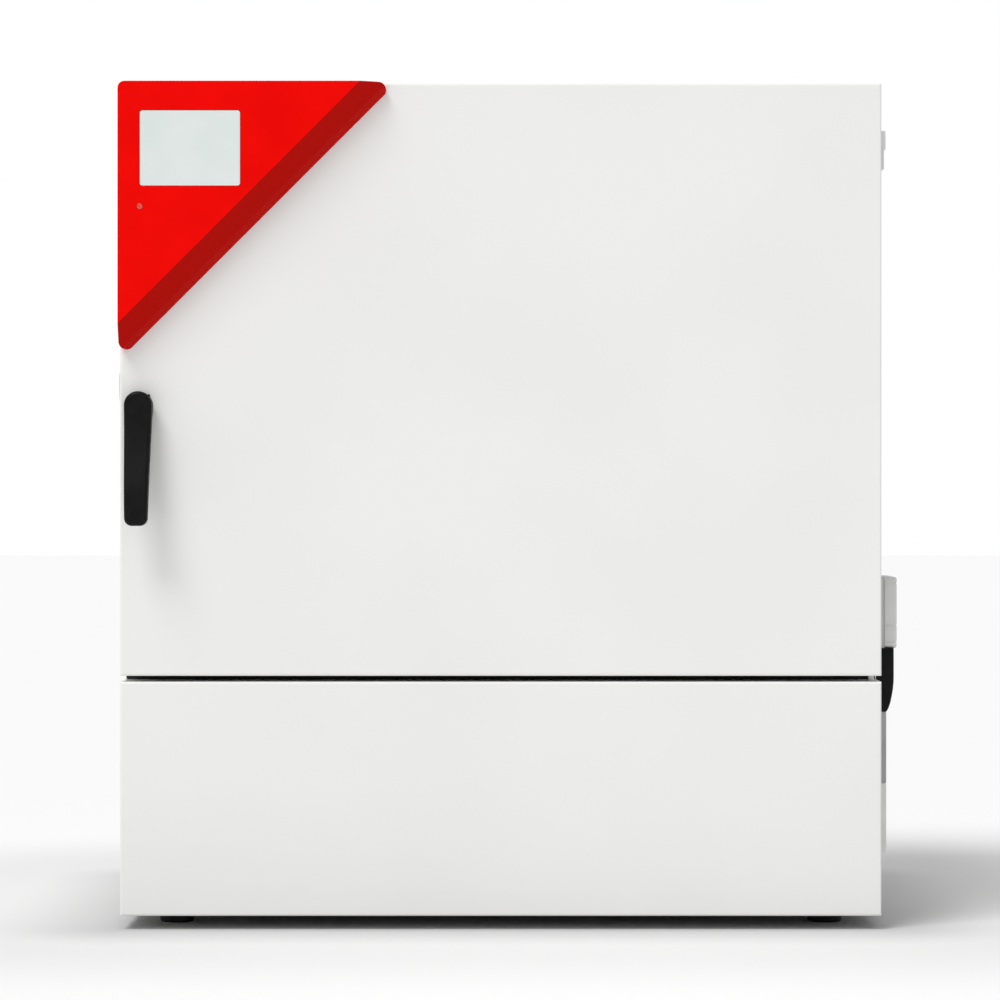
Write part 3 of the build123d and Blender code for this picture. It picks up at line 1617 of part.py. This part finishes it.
# Black hood whose outer side runs in towards the casing at its lower end
with BuildPart() as socket_hood:
    hood_top = box_bottom
    hood_bottom = hood_top - hood_height
    with BuildSketch(Plane.XZ.offset(-service_y[1])) as hood_side:
        with BuildLine():
            hood_edge = Polyline(
                (right, hood_bottom),
                (right, hood_top),
                (right + hood_reach, hood_top),
                (right + hood_reach, hood_top - hood_height * 0.45),
            )
            Spline(
                hood_edge @ 1,
                (right + hood_reach * 0.85, hood_bottom + hood_height * 0.19),
                (right + strip_reach, hood_bottom),
                tangents=((0, -1), (-0.8, -1)),
            )
            Line((right + strip_reach, hood_bottom), (right, hood_bottom))
        make_face()
    extrude(hood_side.sketch, amount=service_depth)
    chamfer(
        socket_hood.edges().filter_by(Axis.Z).sort_by(Axis.X)[-2:], neck_step / 2
    )
finish(socket_hood, "socket_hood")

# Grey plate with three capped sockets, and the plain cover under it
with BuildPart() as interface_plate:
    interface_top = hood_top - hood_height
    slab((right, right + strip_reach), service_y, (interface_top - interface_height, interface_top))
    fillet(interface_plate.faces().sort_by(Axis.X)[-1].edges(), neck_step / 2)
    socket_plane = Plane(
        origin=(right + strip_reach, switch_y, interface_top - interface_height / 2),
        x_dir=(0, 1, 0),
        z_dir=(1, 0, 0),
    )
    with BuildSketch(socket_plane) as sockets:
        with GridLocations(0, interface_height / 4, 1, 3):
            Rectangle(16, 12)
    extrude(sockets.sketch, amount=-casing_sheet, mode=Mode.SUBTRACT)
finish(interface_plate, "interface_plate")

with BuildPart() as blank_plate:
    blank_top = interface_top - interface_height
    slab((right, right + strip_reach), service_y, (blank_top - blank_height, blank_top))
    fillet(blank_plate.faces().sort_by(Axis.X)[-1].edges(), neck_step / 2)
finish(blank_plate, "blank_plate")

with BuildPart() as wiring_cover:
    wiring_z = (top - wiring_drop - wiring_height, top - wiring_drop)
    wiring_y = (service_y[0], service_y[0] + service_depth / 2)
    slab((right, right + wiring_reach - wiring_step), wiring_y, wiring_z)
    slab(
        (right, right + wiring_reach),
        wiring_y,
        ((wiring_z[0] + wiring_z[1]) / 2, wiring_z[1]),
    )
    chamfer(wiring_cover.faces().sort_by(Axis.X)[-1].edges(), wiring_step / 2)
finish(wiring_cover, "wiring_cover")


# Access port

port_end = -chamber_half
port_lip = 5.0
plug_grip = 44.0

with BuildPart() as access_port:
    ring((left - port_lip, port_y, port_z), (1, 0, 0), port_flange, port_bore, port_lip)
    ring((left, port_y, port_z), (1, 0, 0), port_tube, port_bore, port_end - left)
finish(access_port, "access_port")

# Silicone stopper with a grip head
with BuildPart() as access_plug:
    plug_head = service_reach - port_lip
    rod(
        (left - port_lip, port_y, port_z),
        (1, 0, 0),
        port_bore - 2 * running_fit,
        port_end - left + port_lip,
    )
    rod((left - port_lip, port_y, port_z), (-1, 0, 0), plug_grip, plug_head)
    fillet(access_plug.faces().sort_by(Axis.X)[0].edges(), plug_head / 5)
finish(access_plug, "access_plug")
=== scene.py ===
import math

import bmesh
import bpy
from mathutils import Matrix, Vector


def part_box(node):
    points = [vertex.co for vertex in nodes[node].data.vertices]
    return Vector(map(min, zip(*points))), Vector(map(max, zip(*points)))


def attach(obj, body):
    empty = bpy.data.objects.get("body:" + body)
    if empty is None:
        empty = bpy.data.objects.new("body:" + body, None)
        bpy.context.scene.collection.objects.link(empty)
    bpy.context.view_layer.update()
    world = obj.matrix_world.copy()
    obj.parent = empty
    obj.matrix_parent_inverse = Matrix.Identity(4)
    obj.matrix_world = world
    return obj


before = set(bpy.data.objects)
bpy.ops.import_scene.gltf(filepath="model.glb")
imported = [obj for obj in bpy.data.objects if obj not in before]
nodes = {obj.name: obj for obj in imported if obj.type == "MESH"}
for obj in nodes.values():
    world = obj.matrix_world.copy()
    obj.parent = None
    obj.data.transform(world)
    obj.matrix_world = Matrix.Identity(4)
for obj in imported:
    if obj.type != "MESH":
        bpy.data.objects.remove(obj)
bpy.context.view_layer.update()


# Feet. Four round rubber pads that carry the cabinet; the two front ones show as thin dark
# bars under the lower cover. Plain black rubber, moulded.


def linear(hex_colour):
    """sRGB hex to the linear colour that a shader takes."""
    parts = [int(hex_colour[i : i + 2], 16) / 255 for i in (0, 2, 4)]
    return [v / 12.92 if v <= 0.04045 else ((v + 0.055) / 1.055) ** 2.4 for v in parts] + [1.0]


def add(material, kind, settings=None, links=None):
    """Adds one node to a material, with its settings and with links into its sockets."""
    made = material.node_tree.nodes.new(kind)
    for key, value in (settings or {}).items():
        if hasattr(made, key):
            setattr(made, key, value)
        else:
            made.inputs[key].default_value = value
    for key, source in (links or {}).items():
        material.node_tree.links.new(source, made.inputs[key])
    return made


def feed(material, socket, source):
    """Lets a node's output drive one socket of the finish's surface."""
    surface = material.node_tree.nodes["Principled BSDF"]
    material.node_tree.links.new(source, surface.inputs[socket])


def finish_of(name, colour, roughness, metallic=0.0, **sockets):
    """A new finish: its name, its sRGB colour and the values of its surface."""
    material = bpy.data.materials.new(name)
    material.use_nodes = True
    surface = material.node_tree.nodes["Principled BSDF"]
    surface.inputs["Base Color"].default_value = linear(colour)
    surface.inputs["Roughness"].default_value = roughness
    surface.inputs["Metallic"].default_value = metallic
    for key, value in sockets.items():
        surface.inputs[key.replace("_", " ")].default_value = value
    return material


def unevenness(material, size_mm, detail=2.0, stretch=(1, 1, 1)):
    """Soft random patches of a real size in millimetres, fixed to the piece; gives their output."""
    place = add(material, "ShaderNodeTexCoord")
    scaled = add(
        material, "ShaderNodeMapping", {"Scale": stretch}, {"Vector": place.outputs["Object"]}
    )
    noise = add(
        material,
        "ShaderNodeTexNoise",
        {"Scale": 1000 / size_mm, "Detail": detail},
        {"Vector": scaled.outputs["Vector"]},
    )
    return noise.outputs["Fac"]


def tint(material, pattern, colours, spread=(0.0, 1.0)):
    """Lets the colour follow a pattern, from the first colour to the second over a spread."""
    ramp = add(material, "ShaderNodeValToRGB", None, {"Fac": pattern})
    for end, position, colour in zip(ramp.color_ramp.elements, spread, colours):
        end.position = position
        end.color = linear(colour)
    feed(material, "Base Color", ramp.outputs["Color"])
    return ramp


def polish(material, pattern, low, high):
    """Lets roughness follow a pattern between two values."""
    spread = add(
        material,
        "ShaderNodeMapRange",
        {"From Min": 0.3, "From Max": 0.7, "To Min": low, "To Max": high},
        {"Value": pattern},
    )
    feed(material, "Roughness", spread.outputs["Result"])


def grain(material, size_mm, height_mm, stretch=(1, 1, 1), detail=3.0):
    """Fine relief of a finish, from the real size and height of its grain in millimetres."""
    pattern = unevenness(material, size_mm, detail, stretch)
    bump = add(
        material,
        "ShaderNodeBump",
        {"Strength": 1.0, "Distance": height_mm / 1000},
        {"Height": pattern},
    )
    feed(material, "Normal", bump.outputs["Normal"])
    return pattern


def mottle(material, colours, size_mm, spread=(0.35, 0.65)):
    """Slow change between two colours, as handling, casting or dust leave it."""
    pattern = unevenness(material, size_mm)
    tint(material, pattern, colours, spread)
    return pattern


def dress(material, *names):
    """Gives CAD nodes their finish."""
    for name in names:
        mesh = nodes[name].data
        mesh.materials.clear()
        mesh.materials.append(material)


# Moulded rubber: nearly black, with a dull bloom that keeps it from any clear highlight.
pad_rubber = finish_of("moulded_black_rubber", "1b1b1c", roughness=0.75)
grain(pad_rubber, size_mm=0.8, height_mm=0.04)
mottle(pad_rubber, ("161617", "242425"), size_mm=14)
dress(pad_rubber, "feet")


# Partition over the machine space, and the box that holds the electronics there. Zinc-coated
# steel sheet, folded and spot welded; the casing shuts both in.

# Hot-dip zinc: blotchy crystals about 12 mm across, each with its own dull shine.
zinc_crystal_mm = 12
zinc_sheet = finish_of("zinc_coated_sheet", "a9adb0", roughness=0.45, metallic=1.0)
zinc_place = add(zinc_sheet, "ShaderNodeTexCoord")
zinc_crystals = add(
    zinc_sheet,
    "ShaderNodeTexVoronoi",
    {"Scale": 1000 / zinc_crystal_mm},
    {"Vector": zinc_place.outputs["Object"]},
)
tint(zinc_sheet, zinc_crystals.outputs["Color"], ("93989c", "c2c5c7"))
polish(zinc_sheet, zinc_crystals.outputs["Color"], low=0.34, high=0.55)
dress(zinc_sheet, "partition", "electronics_box")


# Refrigeration set on the base pan: hermetic compressor, finned condenser with its shroud
# and five-bladed fan, and the copper lines brazed between them and the evaporator.

# Thick black machine enamel, dipped: glossy with slow runs.
machine_enamel = finish_of("black_machine_enamel", "17181a", roughness=0.32)
grain(machine_enamel, size_mm=9, height_mm=0.08)
mottle(machine_enamel, ("141517", "1f2124"), size_mm=30)
dress(machine_enamel, "compressor", "condenser_fan_frame", "fan_motor")

# Rolled aluminium fins: stripes along X, bright for the lit edges of the sheets and dark for the
# painted shade in the gaps between them. The real sheets of the coil stand about 2 mm apart, and
# the stripes are drawn six times as coarse, so that they show.
fin_stripe_mm = 12.57
wave_crests = 20 / math.tau  # of a wave texture of scale 1, over a metre
fin_sheet = finish_of("aluminium_fins", "c9ccce", roughness=0.3, metallic=1.0)
fin_place = add(fin_sheet, "ShaderNodeTexCoord")
fin_and_gap_shade_stripes = add(
    fin_sheet,
    "ShaderNodeTexWave",
    {"bands_direction": "X", "Scale": 1000 / fin_stripe_mm / wave_crests, "Distortion": 0.1},
    {"Vector": fin_place.outputs["Object"]},
)
# Painted light and shade: lit sheet edges and shaded gaps between the sheets.
tint(fin_sheet, fin_and_gap_shade_stripes.outputs["Fac"], ("8f9496", "dadcde"))
dress(fin_sheet, "condenser", "evaporator")

# Drawn copper: warm, going brown where the torch and the air have been at it.
copper_tube = finish_of("drawn_copper", "c47a52", roughness=0.28, metallic=1.0)
copper_patches = mottle(copper_tube, ("8a5238", "d08a60"), size_mm=40, spread=(0.3, 0.6))
polish(copper_tube, copper_patches, low=0.2, high=0.42)
dress(copper_tube, "refrigerant_lines")

# Glass-filled nylon, injection moulded: black, satin, with a faint flow pattern.
fan_nylon = finish_of("black_fan_nylon", "1a1b1c", roughness=0.42)
grain(fan_nylon, size_mm=2.5, height_mm=0.02)
mottle(fan_nylon, ("151617", "222324"), size_mm=25)
dress(fan_nylon, "condenser_fan")


# Humidifier and its pipework. A stainless boiler whose steam pipe rises through the chamber
# floor, and grey polypropylene hose tails at the back for fresh and waste water.


def brush(material, stretch, colours, low, high):
    """Brushed sheet: lines drawn out by a stretch, that show in relief, colour and shine."""
    lines = grain(material, size_mm=1.2, height_mm=0.004, stretch=stretch, detail=4.0)
    tint(material, lines, colours, spread=(0.3, 0.7))
    polish(material, lines, low, high)


# Brushed stainless sheet: bright and dull lines along X, about 1.2 mm apart, which is coarser
# than the real ones, so that they show.
brushed_steel = finish_of("brushed_stainless", "b4b6b8", roughness=0.3, metallic=1.0)
brush(brushed_steel, (0.03, 1, 1), ("9c9fa2", "c9cbcc"), low=0.24, high=0.4)
dress(brushed_steel, "steam_humidifier")

# Polypropylene, moulded: mid grey, slightly waxy.
grey_polypropylene = finish_of(
    "grey_polypropylene", "7d8082", roughness=0.4, Subsurface_Weight=0.05
)
grain(grey_polypropylene, size_mm=1.0, height_mm=0.015)
mottle(grey_polypropylene, ("777a7c", "85888a"), size_mm=20)
dress(grey_polypropylene, "water_connections")

# Nylon cable gland: black, satin, with a fine spark-eroded skin.
gland_nylon = finish_of("black_gland_nylon", "19191a", roughness=0.5)
grain(gland_nylon, size_mm=0.7, height_mm=0.02)
mottle(gland_nylon, ("151516", "202021"), size_mm=9)
dress(gland_nylon, "mains_inlet")


# Insulation boards round the chamber and the core of the door. Rigid foam cut from blocks,
# hidden by the sheets; its cut cells are drawn about 1.6 mm across.

# Cut polyurethane foam: pale straw, dull, pitted.
cut_foam = finish_of("cut_insulation_foam", "dfcf9b", roughness=0.95)
grain(cut_foam, size_mm=1.6, height_mm=0.3, detail=5.0)
mottle(cut_foam, ("d3c28c", "e8dbb0"), size_mm=22)
dress(cut_foam, "insulation", "door_core")


# Inner chamber with its slotted side walls, rear wall, rails and probes. Stainless sheet,
# laser cut and welded; the vertical walls are brushed upwards.

# Brushed stainless sheet again, its lines along Z, a shade brighter than the boiler's.
wall_steel = finish_of("upright_brushed_stainless", "b4b6b8", roughness=0.28, metallic=1.0)
brush(wall_steel, (1, 1, 0.03), ("9fa2a5", "cccecf"), low=0.22, high=0.38)
dress(wall_steel, "inner_chamber", "side_wall_left", "side_wall_right", "rear_wall", "shelf_rails")

# Electropolished wire: bright and even, with only a soft waviness from the tumbling.
polished_wire = finish_of("electropolished_wire", "c6c8ca", roughness=0.16, metallic=1.0)
grain(polished_wire, size_mm=6, height_mm=0.02)
mottle(polished_wire, ("b9bcbe", "d2d4d5"), size_mm=35)
dress(polished_wire, "rack_lower", "rack_upper", "climate_sensors")


# Air circulation behind the rear wall: the welded radial wheel on its motor's shaft and the
# tubular heater round it, oxidised by its own heat.

# Pressed stainless sheet: plain mill finish, duller in patches.
wheel_steel = finish_of("pressed_stainless", "b2b5b7", roughness=0.3, metallic=1.0)
wheel_patches = mottle(wheel_steel, ("9da0a3", "c6c9cb"), size_mm=16)
polish(wheel_steel, wheel_patches, low=0.22, high=0.4)
dress(wheel_steel, "fan_impeller")

# Nickel alloy sheath: oxidised, brown to blue-grey in patches.
heater_sheath = finish_of("oxidised_heater_sheath", "7c6c58", roughness=0.45, metallic=1.0)
mottle(heater_sheath, ("5f6068", "92795a"), size_mm=30, spread=(0.38, 0.62))
dress(heater_sheath, "heater_element")


# Casing: side, top and rear sheets, the base pan, the tray of the lower front cover and the
# shell of the door. Steel sheet folded with small radii, powder coated and screwed at the back.

# Powder coat: off-white, soft satin, with a fine orange peel of about 1.6 mm close up, and
# very slightly warmer where the film is thick.
powder_coat = finish_of(
    "white_powder_coat", "f3f3f1", roughness=0.5, Specular_IOR_Level=0.35
)
grain(powder_coat, size_mm=1.6, height_mm=0.02)
mottle(powder_coat, ("f2f2f0", "f5f5f3"), size_mm=260)
dress(
    powder_coat,
    "left_panel",
    "right_panel",
    "top_panel",
    "rear_panel",
    "machine_grille",
    "base_pan",
    "lower_front_cover",
    "door_shell",
)

# Zinc plate on screws, hinges and catches: bright, faintly yellow, dulled in spots.
plated_steel = finish_of("zinc_plated_steel", "b9bab4", roughness=0.3, metallic=1.0)
plated_spots = mottle(plated_steel, ("a9aaa4", "cccdc8"), size_mm=12)
polish(plated_steel, plated_spots, low=0.2, high=0.42)
dress(
    plated_steel,
    "rear_screws",
    "strike",
    "upper_hinge",
    "lower_hinge",
    "latch_bar",
    "glass_fittings",
)


def new_piece(name, vertices, faces, material, body):
    """A mesh from points and faces, dressed and riding on a body."""
    mesh = bpy.data.meshes.new(name)
    mesh.from_pydata(vertices, [], faces)
    mesh.materials.append(material)
    piece = bpy.data.objects.new(name, mesh)
    bpy.context.scene.collection.objects.link(piece)
    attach(piece, body)
    return piece


# Each head of the rear screws shows a dark recess with six lobes. There are two columns of
# seven: one screw at the foot, one at the grille's upper edge and five up the panel above it.
# The five stop 4 mm short of the top screw's centre, and those below it short in proportion.
head_radius = 0.004
row_inset = 0.012
recess_radius = 0.0015
lobe_depth = 0.0004
lobes = 6
recess_corners = 24
panel_rows = 5
recess_shadow = finish_of("screw_recess_shadow", "2a2a29", roughness=0.6, metallic=1.0)
mottle(recess_shadow, ("232322", "343433"), size_mm=3)
screw_low, screw_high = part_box("rear_screws")
grille_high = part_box("machine_grille")[1]
head_face = screw_high.y + 0.00005
screw_side = screw_high.x - head_radius
panel_span = screw_high.z + head_radius - grille_high.z - 2 * row_inset
recess_heights = [
    grille_high.z + row_inset + step * panel_span / (panel_rows - 1) for step in range(panel_rows)
]
recess_heights += [screw_low.z + head_radius, grille_high.z - row_inset]
lobe_points = []
lobe_faces = []
for side in (-1, 1):
    for height in recess_heights:
        first = len(lobe_points)
        for corner in range(recess_corners):
            turn = corner * math.tau / recess_corners
            reach = recess_radius + lobe_depth * math.cos(lobes * turn)
            across = side * screw_side + reach * math.cos(turn)
            lobe_points.append((across, head_face, height + reach * math.sin(turn)))
        lobe_faces.append(list(range(first, first + recess_corners)))
new_piece("screw_recesses", lobe_points, lobe_faces, recess_shadow, "cabinet")


# Front frame round the chamber mouth, with the glass inner door on its hinge blocks and the
# silicone seal that it closes on. The frame is a black moulding; its black also stands in for the
# shade deep in the door gap, as painted shade.

# Black moulding: satin, with a fine eroded skin.
# Its black is partly the moulding's own colour and partly painted shade for the door gap.
frame_moulding_gap_shade = finish_of("black_frame_moulding", "141415", roughness=0.55)
grain(frame_moulding_gap_shade, size_mm=0.9, height_mm=0.02)
mottle(frame_moulding_gap_shade, ("111112", "1b1b1c"), size_mm=18)
dress(frame_moulding_gap_shade, "front_frame", "glass_hinge_blocks", "hinge_bushes")

# Toughened soda-lime glass, 5 mm: clear, with the long slight wave that rollers leave, and a
# green that shows mostly at the edges.
pane_glass = finish_of(
    "toughened_glass", "eef6f2", roughness=0.0, Transmission_Weight=1.0, IOR=1.52
)
grain(pane_glass, size_mm=220, height_mm=0.02)
dress(pane_glass, "glass_pane")

# Platinum-cured silicone: milky, soft light in its thin lips.
seal_silicone = finish_of("milky_silicone", "dcdcd6", roughness=0.45, Subsurface_Weight=0.3)
grain(seal_silicone, size_mm=1.5, height_mm=0.02)
mottle(seal_silicone, ("d4d4cd", "e2e2dd"), size_mm=18)
dress(seal_silicone, "glass_door_seal", "access_plug")


# Outer door behind its shell: a raised liner of the walls' stainless sheet, and a black
# rubber gasket pressed into a groove round it.

dress(wall_steel, "door_liner")

# Extruded rubber: black, dull, with faint lines along its length.
gasket_rubber = finish_of("extruded_gasket_rubber", "161617", roughness=0.62)
grain(gasket_rubber, size_mm=3, height_mm=0.03, stretch=(1, 1, 0.1))
mottle(gasket_rubber, ("131314", "1e1e1f"), size_mm=30)
dress(gasket_rubber, "door_gasket")


# Door handle. A black lever hung on a pin in its base; the lower end stands clear of the door
# for the fingers. Glass-filled nylon with a fine spark-eroded skin, polished by hands.

# Glass-filled nylon: deep black, satin, shinier in patches.
handle_nylon = finish_of(
    "black_handle_nylon", "121213", roughness=0.45, Specular_IOR_Level=0.12
)
grain(handle_nylon, size_mm=0.9, height_mm=0.015)
handle_patches = mottle(handle_nylon, ("101011", "161617"), size_mm=24)
polish(handle_nylon, handle_patches, low=0.36, high=0.5)
dress(handle_nylon, "handle_lever", "handle_base")


# Control cover on the corner of the door: a red triangular moulding with a bevelled long
# side, the touch display set into it and a small red lamp under the display.

# ABS, moulded in its colour: saturated red, satin. The bevel slopes right and down, and by its
# slope it takes a deeper red: painted shade, for the light that the bevel loses as it turns away
# from the lamp. A mix of colours takes them at its sockets 6 and 7.
bevel_way = (0.707, 0.0, -0.707)
bevel_painted_shade_red = "bc0a02"
red_abs_with_painted_bevel_shade = finish_of("red_abs_with_painted_bevel_shade", "f60400", roughness=0.42, Specular_IOR_Level=0.05)
grain(red_abs_with_painted_bevel_shade, size_mm=1.0, height_mm=0.01)
red_patches = unevenness(red_abs_with_painted_bevel_shade, size_mm=60)
red_tone = tint(red_abs_with_painted_bevel_shade, red_patches, ("f20300", "fa0500"), spread=(0.35, 0.65))
red_facing = add(red_abs_with_painted_bevel_shade, "ShaderNodeTexCoord")
red_slope = add(
    red_abs_with_painted_bevel_shade,
    "ShaderNodeVectorMath",
    {"operation": "DOT_PRODUCT"},
    {0: red_facing.outputs["Normal"]},
)
red_slope.inputs[1].default_value = bevel_way
# Painted shade: the mask grows as the surface faces down the bevel, and the mix darkens the red
# there.
bevel_painted_shade_mask = add(
    red_abs_with_painted_bevel_shade,
    "ShaderNodeMapRange",
    {"From Min": 0.15, "From Max": 0.55},
    {"Value": red_slope.outputs["Value"]},
)
red_and_painted_shade_mix = add(
    red_abs_with_painted_bevel_shade,
    "ShaderNodeMix",
    {"data_type": "RGBA"},
    {0: bevel_painted_shade_mask.outputs["Result"], 6: red_tone.outputs["Color"]},
)
red_and_painted_shade_mix.inputs[7].default_value = linear(bevel_painted_shade_red)
feed(red_abs_with_painted_bevel_shade, "Base Color", red_and_painted_shade_mix.outputs[2])
dress(red_abs_with_painted_bevel_shade, "control_housing")

# Cover glass over the pale screen: cool white, glossy.
screen_glass = finish_of("lit_display_glass", "e6eeec", roughness=0.12, Coat_Weight=0.4)
mottle(screen_glass, ("e2ebe9", "e9f0ee"), size_mm=70)
dress(screen_glass, "display_glass")

# Circuit board in its tray behind the glass: dark green, dull, shut in by the cover.
board_tray = finish_of("display_board_tray", "23302b", roughness=0.5)
mottle(board_tray, ("1e2a26", "2b3933"), size_mm=8)
dress(board_tray, "display_module")

# Acrylic lamp lens: brighter and pinker than the cover round it, glossy.
lamp_lens = finish_of("lit_red_lens", "f53a2c", roughness=0.15, Coat_Weight=0.5)
mottle(lamp_lens, ("f5352a", "f94a3a"), size_mm=4)
dress(lamp_lens, "status_lamp")


# Service pieces: on the right side the switch box with its rocker, the socket hood, the plate
# with capped sockets, the blank plate and the powder-coated wiring cover higher up; on the
# left side the rim of the access port. Moulded ABS in pale grey, mid grey and black.

dress(powder_coat, "wiring_cover")

# Pale grey ABS: satin, with a fine eroded skin.
pale_abs = finish_of("pale_grey_abs", "e4e4e3", roughness=0.48)
grain(pale_abs, size_mm=0.9, height_mm=0.015)
mottle(pale_abs, ("e1e1e0", "e8e8e7"), size_mm=40)
dress(pale_abs, "service_box", "blank_plate", "access_port")

# Mid grey ABS: the same skin.
mid_abs = finish_of("mid_grey_abs", "a7a9a9", roughness=0.5)
grain(mid_abs, size_mm=0.9, height_mm=0.015)
mottle(mid_abs, ("a2a4a4", "acaeae"), size_mm=40)
dress(mid_abs, "interface_plate")

# Black ABS: deep black, satin, with little gloss.
hood_abs = finish_of("black_hood_abs", "0d0d0e", roughness=0.46, Specular_IOR_Level=0.15)
grain(hood_abs, size_mm=0.9, height_mm=0.015)
mottle(hood_abs, ("0b0b0c", "101011"), size_mm=30)
dress(hood_abs, "socket_hood", "main_switch")


# Studio: seamless pale floor, even sky light, a soft lamp up to the left, a faint one overhead
# and the camera level with the middle of the front, straight on.

floor_reach = 30.0
floor_mesh = bmesh.new()
bmesh.ops.create_grid(floor_mesh, x_segments=8, y_segments=8, size=floor_reach)
floor_data = bpy.data.meshes.new("studio_floor")
floor_mesh.to_mesh(floor_data)
floor_mesh.free()
floor = bpy.data.objects.new("studio_floor", floor_data)
bpy.context.scene.collection.objects.link(floor)

# Matt white paper, with painted shade round the object's footprint, as a large object casts on a
# studio floor: it is deepest at the footprint, mostly gone 0.2 m out and all gone at 0.7 m.
footprint_corner = (0.42, 0.30, 0.0)
shade_near, shade_end = 0.2, 0.7
backdrop_paper = finish_of("backdrop_paper", "fbfbfb", roughness=0.9, Specular_IOR_Level=0.0)
paper_place = add(backdrop_paper, "ShaderNodeTexCoord")
paper_far = add(
    backdrop_paper,
    "ShaderNodeVectorMath",
    {"operation": "ABSOLUTE"},
    {0: paper_place.outputs["Object"]},
)
paper_out = add(
    backdrop_paper,
    "ShaderNodeVectorMath",
    {"operation": "SUBTRACT"},
    {0: paper_far.outputs["Vector"]},
)
paper_out.inputs[1].default_value = footprint_corner
paper_edge = add(
    backdrop_paper,
    "ShaderNodeVectorMath",
    {"operation": "MAXIMUM"},
    {0: paper_out.outputs["Vector"]},
)
paper_distance = add(
    backdrop_paper,
    "ShaderNodeVectorMath",
    {"operation": "LENGTH"},
    {0: paper_edge.outputs["Vector"]},
)
# Painted shadow: the paper's colour darkens towards the footprint.
painted_floor_shade = tint(
    backdrop_paper,
    paper_distance.outputs["Value"],
    ("cccccc", "fcfcfc"),
    spread=(0.0, shade_end),
)
painted_floor_shade.color_ramp.interpolation = "EASE"
painted_floor_shade.color_ramp.elements.new(shade_near).color = linear("ececec")
floor_data.materials.append(backdrop_paper)

# The sky lights the object at sky_light, and the backdrop behind it is seen at full white.
sky_light = 0.46
world = bpy.data.worlds.new("studio_sky")
bpy.context.scene.world = world
world.use_nodes = True
sky = world.node_tree.nodes["Background"]
sky.inputs["Color"].default_value = (1.0, 1.0, 1.0, 1.0)
seen = add(world, "ShaderNodeLightPath")
level = add(
    world,
    "ShaderNodeMapRange",
    {"To Min": sky_light, "To Max": 1.0},
    {"Value": seen.outputs["Is Camera Ray"]},
)
world.node_tree.links.new(level.outputs["Result"], sky.inputs["Strength"])


def far_lamp(name, left_turn, height, softness, strength):
    """A lamp far off in front: turned left, raised and as wide as these angles in degrees."""
    data = bpy.data.lights.new(name, "SUN")
    data.energy = strength
    data.angle = math.radians(softness)
    lamp = bpy.data.objects.new(name, data)
    turn, rise = math.radians(left_turn), math.radians(height)
    toward = Vector(
        (math.sin(turn) * math.cos(rise), math.cos(turn) * math.cos(rise), -math.sin(rise))
    )
    lamp.rotation_euler = toward.to_track_quat("-Z", "Y").to_euler()
    bpy.context.scene.collection.objects.link(lamp)


far_lamp("key_lamp", left_turn=38, height=56, softness=26, strength=1.55)
far_lamp("top_lamp", left_turn=0, height=86, softness=70, strength=0.35)

# The lens and the distance give the photograph's frame, about 1.15 m across at the front.
camera_data = bpy.data.cameras.new("front_camera")
camera_data.lens = 140.2
camera_data.sensor_width = 36.0
camera = bpy.data.objects.new("front_camera", camera_data)
camera.location = (-0.0009, -4.825, 0.4967)
camera.rotation_euler = (math.pi / 2, 0.0, 0.0)
bpy.context.scene.collection.objects.link(camera)
bpy.context.scene.camera = camera
bpy.context.scene.view_settings.view_transform = "Standard"
